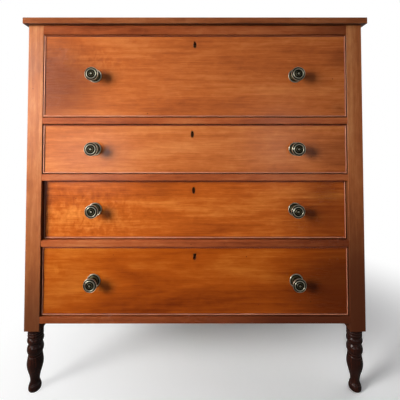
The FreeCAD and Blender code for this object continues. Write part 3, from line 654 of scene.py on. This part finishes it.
def front_finish(n, curl=None, stains_and_shade=(), **others):
    """The finish of one drawer front, with its marks laid on its face."""
    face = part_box(f"drawer_{n}_front")[0].y
    lock_low, lock_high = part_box(f"drawer_{n}_lock")
    keyhole = ((lock_low.x + lock_high.x) / 2, face, lock_high.z - KEYHOLE_DROP)
    if curl:
        amount, (across, up), reach = curl
        curl = (amount, (across, face, up), reach)
    marks = [((across, face, up), reach, amount) for (across, up), reach, amount in stains_and_shade]
    return wood(f"cherry_front_{n}", "x", curl=curl, stains_and_shade=marks, keyhole=keyhole, **others)


for n in DRAWERS:
    finishes[f"front_{n}"] = front_finish(n, **FRONTS[n])
finishes["bead_low"] = wood("cherry_bead_low", "x", BEAD_TONES, 8.3)
finishes["bead_high"] = wood("cherry_bead_high", "x", BEAD_SHADED_TONES, 8.6)
finishes["bead_upright"] = wood("cherry_bead_upright", "z", BEAD_TONES, 8.9)
print("made", len(finishes), "woods in all")

# %% [markdown]
# ## Metal
# The knobs are brass that has gone grey-green with age. Fingers rub the crests of
# the rings bright, and old polish stays dark in the grooves. Each turned piece
# carries a value on its points, above nought on a crest and below it in a groove,
# and the material reads that. Of a lock, only the plates on the front's back and
# top edge are seen, and what is let into the wood is painted dark as shade.

# %% Brass and iron
PATCHES = dict(per_metre=90, detail=4, roughness=0.6)
GRIT = dict(per_metre=1400, detail=2, roughness=0.5)
CREST_SHARE, PATCH_SHARE, GRIT_SHARE, BRIGHT_RANGE = 1.2, 0.7, 0.2, (0.6, 1.2)
GROOVE_BLUR, GROOVE_RANGE = 0.3, (0.2, 0.75)
GRIT_RELIEF, METAL_RELIEF, RUBBED_SHINE, GROOVE_DULL = 0.4, 0.2 * MM, 0.1, 0.25
LOCK_PLATE = 2 * MM


def metal(name, groove_and_shade, dull, bright, roughness, metallic=0.9, plates=None):
    """An aged metal; plates gives how far back and how far up its plates begin, and the rest is painted
    dark as shade.
    """
    cast = new_finish(name)
    crest = cast.add("Attribute", {"attribute_name": "crest"}, output="Fac")
    patch = cast.speckle(**PATCHES)
    grit = cast.speckle(**GRIT)
    rubbed = cast.level(crest * CREST_SHARE + patch * PATCH_SHARE + grit * GRIT_SHARE, *BRIGHT_RANGE)
    patina_and_shade = cast.level(crest * -1 + patch * GROOVE_BLUR, *GROOVE_RANGE)
    # Painted shade: what lies in front of the back plate and below the top plate, let into the wood, takes
    # the darkest colour.
    if plates:
        masks = [cast.level(cast.part(cast.place(), axis), start - MM, start, 1, 0)
                 for axis, start in zip("YZ", plates)]
        patina_and_shade = cast.either(patina_and_shade, masks[0] * masks[1])
    colour = cast.blend(patina_and_shade, cast.blend(rubbed, dull, bright), groove_and_shade)
    shine = roughness - rubbed * RUBBED_SHINE + patina_and_shade * GROOVE_DULL
    return cast.skin(colour, shine, grit * GRIT_RELIEF, METAL_RELIEF, Metallic=metallic)


finishes["brass"] = metal("tarnished_brass", linear(20, 16, 11), linear(104, 97, 70),
                          linear(228, 224, 202), 0.38)
finishes["iron"] = metal("bolt_iron", linear(46, 40, 35), linear(92, 88, 82),
                         linear(150, 146, 138), 0.5, 0.5)
finishes["lock_screw"] = metal("screw_brass", linear(30, 24, 15), linear(148, 126, 78),
                               linear(196, 172, 118), 0.42, 0.55)
# A lock's darkest colour is the painted shade on its part let into the wood.
for n in DRAWERS:
    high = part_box(f"drawer_{n}_lock")[1]
    plates = (high.y - LOCK_PLATE, high.z - LOCK_PLATE)
    finishes[f"lock_{n}"] = metal(f"lock_brass_{n}", linear(14, 9, 6), linear(126, 104, 60),
                                  linear(178, 152, 98), 0.45, 0.55, plates)
print("made", len(finishes), "finishes in all")

# %% [markdown]
# ## Turned work
# The feet, the knobs and the rosettes were all turned on a lathe, so each is one
# outline swept about an axis. We write the outline as a few (radius, height) points
# in millimetres and draw a smooth curve through them, as a turner does by eye.

# %% Smooth outlines
def curve(points, steps=4):
    """More points on a smooth curve through the given ones."""
    ends = [points[0]] + list(points) + [points[-1]]
    run = []
    for before, first, second, after in zip(ends, ends[1:], ends[2:], ends[3:]):
        for step in range(steps):
            t = step / steps
            run.append(tuple(
                0.5 * (2 * b + (c - a) * t + (2 * a - 5 * b + 4 * c - d) * t ** 2
                       + (3 * b - a - 3 * c + d) * t ** 3)
                for a, b, c, d in zip(before, first, second, after)))
    return run + [tuple(points[-1])]


# %% [markdown]
# ## Crests and grooves
# Wear and dirt follow shape, and so do the highlight and shade painted on wood, so the
# material has to know where the outline stands proud. We compare each point with the
# mean of those near it: outside the mean is a crest, and inside it is a groove. A ring
# where no finger reaches can be set as sheltered.

# %% Crests of an outline
CREST_REACH, CREST_DEPTH = 2.6, 0.45
SHELTER = 0.85


def crests(outline, sheltered):
    """How far each point of an outline stands proud of those near it, from -1 to 1."""
    proud = []
    last_index = len(outline) - 1
    for index, (radius, height) in enumerate(outline):
        near = [(r, h) for r, h in outline if abs(r - radius) + abs(h - height) < CREST_REACH]
        mean = Vector((sum(r for r, h in near), sum(h for r, h in near))) / len(near)
        along = Vector(outline[min(index + 1, last_index)]) - Vector(outline[max(index - 1, 0)])
        outward = Vector((along.y, -along.x)).normalized()
        value = (Vector((radius, height)) - mean).dot(outward) / CREST_DEPTH
        if sheltered[0] < radius < sheltered[1]:
            value -= SHELTER
        proud.append(max(-1, min(1, value)))
    return proud


# %% [markdown]
# ## Sweeping an outline
# One function turns an outline about an axis that points up, as for a foot, or to
# the front, as for a knob. A point on the axis stays a single point, so the poles
# are closed and no face is folded flat.

# %% Turning
def spin(outline, centre, direction, sides, sheltered=(0, 0)):
    """Points, faces and crest values of an outline turned about an axis, up or to the front."""
    points, faces, rings, proud = [], [], [], []
    for (radius, height), crest in zip(outline, crests(outline, sheltered)):
        count = 1 if radius == 0 else sides
        rings.append(range(len(points), len(points) + count))
        for side in range(count):
            angle = math.tau * side / sides
            across, other, rise = radius * math.cos(angle) * MM, radius * math.sin(angle) * MM, height * MM
            way = (across, other, rise) if direction == "up" else (across, -rise, other)
            points.append(tuple(c + w for c, w in zip(centre, way)))
            proud.append(crest)
    for low, high in zip(rings, rings[1:]):
        for side in range(sides):
            following = (side + 1) % sides
            corners = [low[side % len(low)], low[following % len(low)],
                       high[following % len(high)], high[side % len(high)]]
            corners = list(dict.fromkeys(corners))
            if len(corners) > 2:
                faces.append(corners)
    return points, faces, proud


# %% One object from points and faces
def make(name, parts, body, finish, smooth):
    """One object from several lists of points and faces; smooth is the angle that stays round."""
    shape = bmesh.new()
    crest = shape.verts.layers.float.new("crest")
    for points, faces, *proud in parts:
        corners = [shape.verts.new(point) for point in points]
        if proud:
            for corner, value in zip(corners, proud[0]):
                corner[crest] = value
        for face in faces:
            shape.faces.new([corners[index] for index in face])
    bmesh.ops.recalc_face_normals(shape, faces=shape.faces)
    mesh = bpy.data.meshes.new(name)
    shape.to_mesh(mesh)
    shape.free()
    mesh.shade_smooth()
    mesh.set_sharp_from_angle(angle=math.radians(smooth))
    mesh.materials.append(finish)
    piece = bpy.data.objects.new(name, mesh)
    scene.collection.objects.link(piece)
    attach(piece, body)
    return piece


# %% [markdown]
# ## The outline of a foot
# From the floor up, a foot has a small ball, a calf that swells and narrows again, a
# scribed neck, a bulb, a hollow, a ring, and a collar of three fine beads under the
# shoulder. The names below follow that order, and each stretch starts where the one
# before it ends.

# %% Outline of a foot
FOOT_HEIGHT, SOLE_RADIUS = 185, 13.8
BALL = (curve([(15.0, 1.0), (16.9, 3.5), (17.9, 8.5), (17.4, 14.0), (15.8, 18.4)])
        + curve([(15.2, 19.2), (15.6, 20.4), (14.9, 21.8), (13.6, 25.5), (12.9, 31.0), (13.3, 37.0)]))
CALF = curve([(13.3, 37.0), (15.2, 47.0), (18.4, 58.0), (21.3, 69.0), (22.7, 79.0), (22.5, 87.0),
              (21.2, 96.0), (20.2, 102.6)]) + [(19.3, 103.6), (19.8, 105.0)]
NECK = curve([(19.8, 105.0), (19.4, 107.0), (18.9, 109.6)]) + [(18.6, 110.6)]
BULB = curve([(18.6, 110.6), (20.8, 114.0), (22.4, 119.5), (22.8, 125.0), (22.0, 130.5),
              (20.0, 135.5), (18.4, 138.4)])
COVE = [(17.7, 139.8), (18.3, 141.4)]
RING = curve([(18.3, 141.4), (20.8, 143.8), (22.4, 148.0), (22.8, 151.5), (22.3, 155.0), (20.8, 158.4)])
COLLAR = ([(19.8, 159.6), (20.3, 161.0)]
          + curve([(20.3, 161.0), (21.4, 162.6), (21.9, 165.4), (21.4, 168.0)], 3) + [(20.8, 168.8)]
          + curve([(21.2, 169.6), (21.8, 172.2), (21.4, 174.8)], 3) + [(20.8, 175.6)]
          + curve([(21.2, 176.4), (21.8, 179.0), (21.5, 182.0)], 3) + [(21.0, FOOT_HEIGHT)])
foot_outline = [(0, 0), (SOLE_RADIUS, 0)] + BALL + CALF + NECK + BULB + COVE + RING + COLLAR
foot_outline.append((0, FOOT_HEIGHT))
print("foot outline of", len(foot_outline), "points")

# %% [markdown]
# ## Posts and feet
# Each corner post is one stick: square above, turned below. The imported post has
# the right joints, so we copy it, cut its plain foot off at the shoulder and put a
# smooth turned foot in its place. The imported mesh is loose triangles, which have to
# be joined before the hole that the cut leaves can be filled.

# %% Posts
FOOT_SIDES = 80
JOIN_DISTANCE, CUT_ROOM = 0.001 * MM, 0.05 * MM
SQUARE_SMOOTH, FOOT_SMOOTH = 20, 50


def square_post(node):
    """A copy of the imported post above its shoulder, closed again below."""
    shape = bmesh.new()
    shape.from_mesh(node.data)
    bmesh.ops.remove_doubles(shape, verts=shape.verts, dist=JOIN_DISTANCE)
    shoulder = FOOT_HEIGHT * MM - CUT_ROOM
    below = [face for face in shape.faces if face.calc_center_median().z < shoulder]
    bmesh.ops.delete(shape, geom=below, context="FACES")
    bmesh.ops.holes_fill(shape, edges=shape.edges)
    points = [tuple(vert.co) for vert in shape.verts]
    faces = [[vert.index for vert in face.verts] for face in shape.faces]
    shape.free()
    return points, faces


for end in ("front", "back"):
    for side in ("left", "right"):
        name = f"post_{end}_{side}"
        low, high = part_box(name)
        middle = ((low.x + high.x) / 2, (low.y + high.y) / 2, 0)
        post = make(name + "_square", [square_post(nodes[name])], "case", finishes["posts"],
                    SQUARE_SMOOTH)
        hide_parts(name)
        make(name + "_foot", [spin(foot_outline, middle, "up", FOOT_SIDES)], "case",
             finishes["feet"], FOOT_SMOOTH)
print("four posts with turned feet")

# %% [markdown]
# ## Cock beads
# A thin strip with a rounded nose stands proud round each drawer front, mitred at
# its corners. The imported strips have a plain chamfer for a nose; here each strip is
# its true section, drawn along one side of the front with its ends cut at 45 degrees.
# The strip on top faces the shadow of the rail, so its colour is painted darker as shade.

# %% Beads
BEAD_WIDTH, BEAD_NOSE, MITRE_LINE = 4.5 * MM, 2.25 * MM, 0.06 * MM
NOSE_STEPS, NOSE_CREST_FALL, BEAD_SMOOTH = 10, 2.4, 50


def bead_section(front, back):
    """Across the strip and back from its nose: flat sides and a round front."""
    nose = front + BEAD_NOSE
    section = [(0, back), (0, nose)]
    for step in range(1, NOSE_STEPS):
        turn = math.pi * step / NOSE_STEPS
        section.append((BEAD_WIDTH * (1 - math.cos(turn)) / 2, nose - BEAD_NOSE * math.sin(turn)))
    return section + [(BEAD_WIDTH, nose), (BEAD_WIDTH, back)]


def bead_strips(name):
    """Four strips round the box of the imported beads."""
    low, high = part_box(name)
    section = bead_section(low.y, high.y)
    count = len(section)
    faces = [(2 * i, 2 * i + 1, 2 * i + 3, 2 * i + 2) for i in range(count - 1)]
    faces.append((2 * count - 2, 2 * count - 1, 1, 0))
    faces.append([2 * i for i in range(count)])
    faces.append([2 * i + 1 for i in range(count)])
    corners = [Vector((low.x, 0, low.z)), Vector((high.x, 0, low.z)),
               Vector((high.x, 0, high.z)), Vector((low.x, 0, high.z))]
    strips = []
    for start, end in zip(corners, corners[1:] + corners[:1]):
        run = (end - start).normalized()
        inward = Vector((-run.z, 0, run.x))
        points, proud = [], []
        for across, y in section:
            for corner, way in ((start, 1), (end, -1)):
                point = corner + run * way * (across + MITRE_LINE) + inward * across
                points.append((point.x, y, point.z))
                # The nose is a crest and the flat sides behind it lie lower: the nose gets paler, partly as
                # wear and partly as a painted highlight, and the sides darker, partly as dirt and partly as
                # painted shade.
                proud.append(max(-1, 1 - NOSE_CREST_FALL * (y - low.y) / BEAD_NOSE))
        strips.append((points, faces, proud))
    return strips


for n in DRAWERS:
    name = f"drawer_{n}_cock_beads"
    low_strip, right_strip, high_strip, left_strip = bead_strips(name)
    sets = {"low": [low_strip], "high": [high_strip], "upright": [right_strip, left_strip]}
    for way, strips in sets.items():
        piece = make(f"drawer_{n}_bead_{way}", strips, f"drawer_{n}", finishes[f"bead_{way}"],
                     BEAD_SMOOTH)
        if way == "low":
            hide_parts(name)
print("cock beads on", len(DRAWERS), "drawers")

# %% [markdown]
# ## The outline of a knob
# Each knob is a spun brass head with two rings and a button on its face, on a waist
# that stands on a stamped rosette. A threaded stem runs back through the drawer
# front. Heights count from the front's face, so the stem's are below nought.

# %% Outlines of a knob and a rosette
STEM_RADIUS, THREAD_PITCH, THREAD_DEPTH = 2.8, 0.9, 0.35
TIP_CHAMFER, THREAD_START, THREAD_EXTRA = 0.8, 0.3, 2
FRONT_THICKNESS, STEM_TAIL = 22, 7
HUB, BORE_RADIUS = 6, 3.0


def thread(start, length):
    """Ridges from the tip of a stem upwards."""
    run = []
    for ridge in range(int(length / THREAD_PITCH)):
        height = start + ridge * THREAD_PITCH
        run += [(STEM_RADIUS - THREAD_DEPTH, height), (STEM_RADIUS, height + THREAD_PITCH / 2)]
    return run


tip = -FRONT_THICKNESS - STEM_TAIL
STEM = ([(0, tip), (STEM_RADIUS - TIP_CHAMFER, tip)]
        + thread(tip + THREAD_START, STEM_TAIL + THREAD_EXTRA)
        + [(STEM_RADIUS, tip + STEM_TAIL + THREAD_EXTRA + 1), (STEM_RADIUS, HUB)])
WAIST = ([(6.8, HUB)] + curve([(7.1, 6.6), (7.2, 7.4), (6.6, 8.3)], 3)
         + curve([(5.9, 8.8), (5.5, 11.0), (6.2, 14.5), (9.0, 19.0), (13.6, 23.2), (18.2, 26.2),
                  (19.8, 27.6)]))
RIM = curve([(20.1, 28.3), (20.3, 29.4), (20.0, 30.5), (19.3, 31.0), (18.6, 30.7), (17.8, 30.0),
             (16.8, 29.9)])
OUTER_RING = curve([(16.8, 29.9), (15.9, 31.0), (15.0, 32.5), (13.9, 33.2), (12.9, 32.9),
                    (12.1, 31.6), (11.4, 30.0), (10.6, 29.1), (9.8, 29.3)])
INNER_RING = curve([(9.8, 29.3), (9.0, 30.9), (8.0, 32.3), (6.8, 32.6), (5.8, 32.1), (5.0, 31.1),
                    (4.4, 31.2)])
BUTTON = curve([(4.4, 31.2), (3.6, 32.8), (2.6, 33.8), (1.3, 34.0), (0.6, 33.8), (0, 33.7)])
knob_outline = STEM + WAIST + RIM + OUTER_RING + INNER_RING + BUTTON
rosette_outline = ([(BORE_RADIUS, 0), (20.5, 0), (20.6, 0.7)]
                   + curve([(20.4, 1.4), (19.7, 2.1), (18.7, 2.3), (17.8, 1.9), (17.1, 1.3), (16.2, 1.3),
                            (14.0, 2.4), (11.0, 3.6), (9.6, 4.1), (9.0, 5.2), (8.2, 5.8)])
                   + [(7.2, HUB), (BORE_RADIUS, HUB), (BORE_RADIUS, 0)])
print("knob outline of", len(knob_outline), "points, rosette of", len(rosette_outline))

# %% [markdown]
# ## Knobs and rosettes
# Both knobs of a drawer are one piece with two shapes in it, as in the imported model,
# and so are both rosettes. Inside its outer ring, a knob's face is sheltered from
# rubbing, so it stays dark. We keep the middles, because the nuts go there too.

# %% Knobs
KNOB_SIDES, KNOB_SMOOTH = 72, 60
DARK_RING = (2.4, 11.0)


def brass_pair(node, outline, body, name):
    """Both knobs, or both rosettes, of a drawer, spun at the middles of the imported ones."""
    low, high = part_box(node)
    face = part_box(body + "_front")[0].y
    half = (high.z - low.z) / 2
    middles = [(x, face, (low.z + high.z) / 2) for x in (low.x + half, high.x - half)]
    parts = [spin(outline, middle, "front", KNOB_SIDES, DARK_RING) for middle in middles]
    piece = make(name, parts, body, finishes["brass"], KNOB_SMOOTH)
    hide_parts(node)
    return middles


stems = {}
for n in DRAWERS:
    body = f"drawer_{n}"
    stems[n] = brass_pair(body + "_knobs", knob_outline, body, body + "_turned_knobs")
    brass_pair(body + "_rosettes", rosette_outline, body, body + "_stamped_rosettes")
print(2 * len(stems), "knobs on their rosettes")

# %% [markdown]
# ## Shapes of small fasteners
# Nuts, washers, screws and nails are cut from two simple shapes, a block and a rod.
# We build them inside Geometry Nodes, and a few short helpers name the steps. A rod
# is made upright and then laid down, so that its axis runs from front to back.

# %% Block, rod and cut
BACKWARD = (math.radians(-90), 0, 0)


def block(tree, across, deep, tall):
    size = tree.add("ShaderNodeCombineXYZ", None, [across, deep, tall])
    return tree.add("MeshCube", None, {"Size": size}, "Mesh")


def rod(tree, radius, length, sides):
    """A cylinder whose axis runs from front to back."""
    upright = tree.add("MeshCylinder", None, {"Vertices": sides, "Radius": radius, "Depth": length}, "Mesh")
    return tree.add("Transform", None, {"Geometry": upright, "Rotation": BACKWARD})


def shifted(tree, item, back):
    away = tree.add("ShaderNodeCombineXYZ", None, [0.0, back, 0.0])
    return tree.add("Transform", None, {"Geometry": item, "Translation": away})


def less(tree, whole, tool):
    return tree.add("MeshBoolean", {"operation": "DIFFERENCE"}, {"Mesh 1": whole, "Mesh 2": tool}, "Mesh")


# %% [markdown]
# ## Repeating a shape
# The same fastener comes again and again. Geometry Nodes lay one shape at every
# point of a mesh, which is easier to change than forty separate objects. Its sizes
# are named inputs. Nobody turns a screw to an exact angle, so each is turned a
# little at random, with a fixed seed that gives the same result each time.

# %% Repeating a shape
TURN_SEED, FASTENER_SMOOTH = 7, 35


def repeating_group(name, sizes, shape, turn, finish):
    """The tree that lays a shape at each point; also the identifier of each size."""
    group = bpy.data.node_groups.new(name, "GeometryNodeTree")
    group.interface.new_socket("Points", in_out="INPUT", socket_type="NodeSocketGeometry")
    sockets = {label: group.interface.new_socket(label, in_out="INPUT", socket_type="NodeSocketFloat")
               for label in sizes}
    group.interface.new_socket("Geometry", in_out="OUTPUT", socket_type="NodeSocketGeometry")
    tree = Tree(group, "GeometryNode")
    given = group.nodes.new("NodeGroupInput")
    values = {label: Wire(tree, given.outputs[label]) for label in sizes}
    spun = tree.add("FunctionNodeRandomValue", {"data_type": "FLOAT_VECTOR"},
                    {"Min": (0, -turn, 0), "Max": (0, turn, 0), "Seed": TURN_SEED})
    laid = tree.add("InstanceOnPoints", None, {"Points": Wire(tree, given.outputs["Points"]),
                                               "Instance": shape(tree, values), "Rotation": spun})
    real = tree.add("RealizeInstances", None, [laid])
    dressed = tree.add("SetMaterial", None, {"Geometry": real, "Material": finish})
    tree.add("NodeGroupOutput", None, [dressed])
    return group, {label: socket.identifier for label, socket in sockets.items()}


def repeat(name, points, sizes, shape, turn, body, finish):
    """Lay one shape at each point and keep the result as a plain mesh."""
    group, identifiers = repeating_group(name, sizes, shape, math.radians(turn), finish)
    seeds = bpy.data.meshes.new(name)
    seeds.from_pydata(points, [], [])
    piece = bpy.data.objects.new(name, seeds)
    scene.collection.objects.link(piece)
    modifier = piece.modifiers.new(name, "NODES")
    modifier.node_group = group
    for label, value in sizes.items():
        modifier[identifiers[label]] = value
    solid = piece.evaluated_get(bpy.context.evaluated_depsgraph_get())
    mesh = bpy.data.meshes.new_from_object(solid)
    piece.modifiers.remove(modifier)
    piece.data = mesh
    mesh.shade_smooth()
    mesh.set_sharp_from_angle(angle=math.radians(FASTENER_SMOOTH))
    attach(piece, body)
    return piece


# %% [markdown]
# ## Nuts and washers
# Inside the drawer, a square nut on a washer draws each knob tight. Both have a
# hole for the stem, cut by one rod. The washer lies on the inner face of the front,
# and the places across and up are those of the knobs.

# %% Nuts and washers
NUT = {"Nut across": 11 * MM, "Nut thickness": 4.2 * MM, "Washer radius": 8.5 * MM,
       "Washer thickness": 1.2 * MM, "Hole radius": 2.95 * MM}
WASHER_SIDES, HOLE_SIDES, HOLE_LENGTH, NUT_TURN = 32, 24, 4, 40


def nut_and_washer(tree, size):
    """A washer against the wood and a square nut behind it, both round the stem."""
    washer = rod(tree, size["Washer radius"], size["Washer thickness"], WASHER_SIDES)
    washer = shifted(tree, washer, size["Washer thickness"] * 0.5)
    nut = block(tree, size["Nut across"], size["Nut thickness"], size["Nut across"])
    nut = shifted(tree, nut, size["Washer thickness"] + size["Nut thickness"] * 0.5)
    hole = rod(tree, size["Hole radius"], size["Nut thickness"] * HOLE_LENGTH, HOLE_SIDES)
    join = tree.graph.nodes.new("GeometryNodeJoinGeometry")
    for item in (less(tree, washer, hole), less(tree, nut, hole)):
        tree.graph.links.new(item.socket, join.inputs[0])
    return Wire(tree, join.outputs[0])


for n in DRAWERS:
    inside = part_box(f"drawer_{n}_front")[1].y
    places = [(x, inside, z) for x, y, z in stems[n]]
    repeat(f"drawer_{n}_nuts", places, NUT, nut_and_washer, NUT_TURN, f"drawer_{n}",
           finishes["iron"])
print("a nut and a washer on each stem")

# %% [markdown]
# ## Lock screws
# Four screws hold each lock's plate. Their heads are flat, stand a hair proud of
# the brass, and have a sawn slot. Each was driven until it was tight, so no two
# slots line up.

# %% Lock screws
SCREW = {"Head radius": 3.1 * MM, "Head height": 0.5 * MM, "Slot width": 0.8 * MM}
SCREW_IN, SCREW_DROPS = 4.5 * MM, (9 * MM, 45 * MM)
HEAD_SIDES, SLOT_LENGTH, SCREW_TURN = 24, 3, 90


def slotted_head(tree, size):
    """A flat head that stands a little proud, with a sawn slot."""
    head = rod(tree, size["Head radius"], size["Head height"] * 2, HEAD_SIDES)
    slot = block(tree, size["Head radius"] * SLOT_LENGTH, size["Head height"], size["Slot width"])
    return less(tree, head, shifted(tree, slot, size["Head height"]))


for n in DRAWERS:
    low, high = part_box(f"drawer_{n}_lock")
    places = [(x, high.y, high.z - drop) for x in (low.x + SCREW_IN, high.x - SCREW_IN)
              for drop in SCREW_DROPS]
    repeat(f"drawer_{n}_lock_screws", places, SCREW, slotted_head, SCREW_TURN, f"drawer_{n}",
           finishes["lock_screw"])
print(len(places), "screws in each lock")

# %% [markdown]
# ## Nails in the back
# Each back board is nailed at both edges to the rail above and the rail below. Cut
# nails have oblong heads, so a block will do.

# %% Nails in the back
NAIL = {"Head long": 6 * MM, "Head short": 3.4 * MM, "Head height": 0.7 * MM}
NAIL_IN, NAIL_TURN = 28 * MM, 25


def nail_head(tree, size):
    """The oblong head of a cut nail."""
    return block(tree, size["Head long"], size["Head height"] * 2, size["Head short"])


rail_boxes = [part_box(name) for name in ("back_rail_top", "back_rail_bottom")]
rail_heights = [(low.z + high.z) / 2 for low, high in rail_boxes]
places = []
for index in range(PLANK_COUNT):
    start = boards_low.x + index * plank_width
    for x in (start + NAIL_IN, start + plank_width - NAIL_IN):
        places += [(x, boards_high.y, z) for z in rail_heights]
repeat("back_nails", places, NAIL, nail_head, NAIL_TURN, "case", finishes["iron"])
print(len(places), "nails in the back")

# %% [markdown]
# ## Dressing the rest
# The drawer boxes, rails, panels and back keep the shapes that came with the packed
# model, so they only need the right finish. Cherry is used where it shows. The parts
# that nobody sees are poplar, a plain pale wood, with its grain along each board. A
# table says which finish belongs to which name.

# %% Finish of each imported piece
CASE_FINISH = {
    "top_board": "top_board", "top_rail": "top_rail", "divider_rail": "rails", "bottom_rail": "rails",
    "post": "posts", "side_panel": "sides", "back_boards": "poplar_z", "back_rail": "poplar_x",
    "drawer_stops": "poplar_x", "drawer_runners": "poplar_y", "drawer_guides": "poplar_y",
    "top_kickers": "poplar_y",
}
DRAWER_FINISH = {
    "front": "front_{}", "side_left": "poplar_y", "side_right": "poplar_y", "back": "poplar_x",
    "bottom": "poplar_x", "cock_beads": "bead_low", "knobs": "brass", "rosettes": "brass",
    "lock": "lock_{}", "lock_bolt": "iron",
}


def finish_for(name):
    """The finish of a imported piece, found from its name."""
    for start, finish in CASE_FINISH.items():
        if name.startswith(start):
            return finishes[finish]
    _, n, piece = name.split("_", 2)
    return finishes[DRAWER_FINISH[piece].format(n)]


for name, node in nodes.items():
    node.data.materials.clear()
    node.data.materials.append(finish_for(name))
print("finished", len(nodes), "pieces")

# %% [markdown]
# ## Size
# The finished chest must fit the box of the imported one, because other scenes stand
# things against it. We print the size of the finished chest.

# %% Size of the finished chest
low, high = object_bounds()
print("size", [round(b - a, 4) for a, b in zip(low, high)])
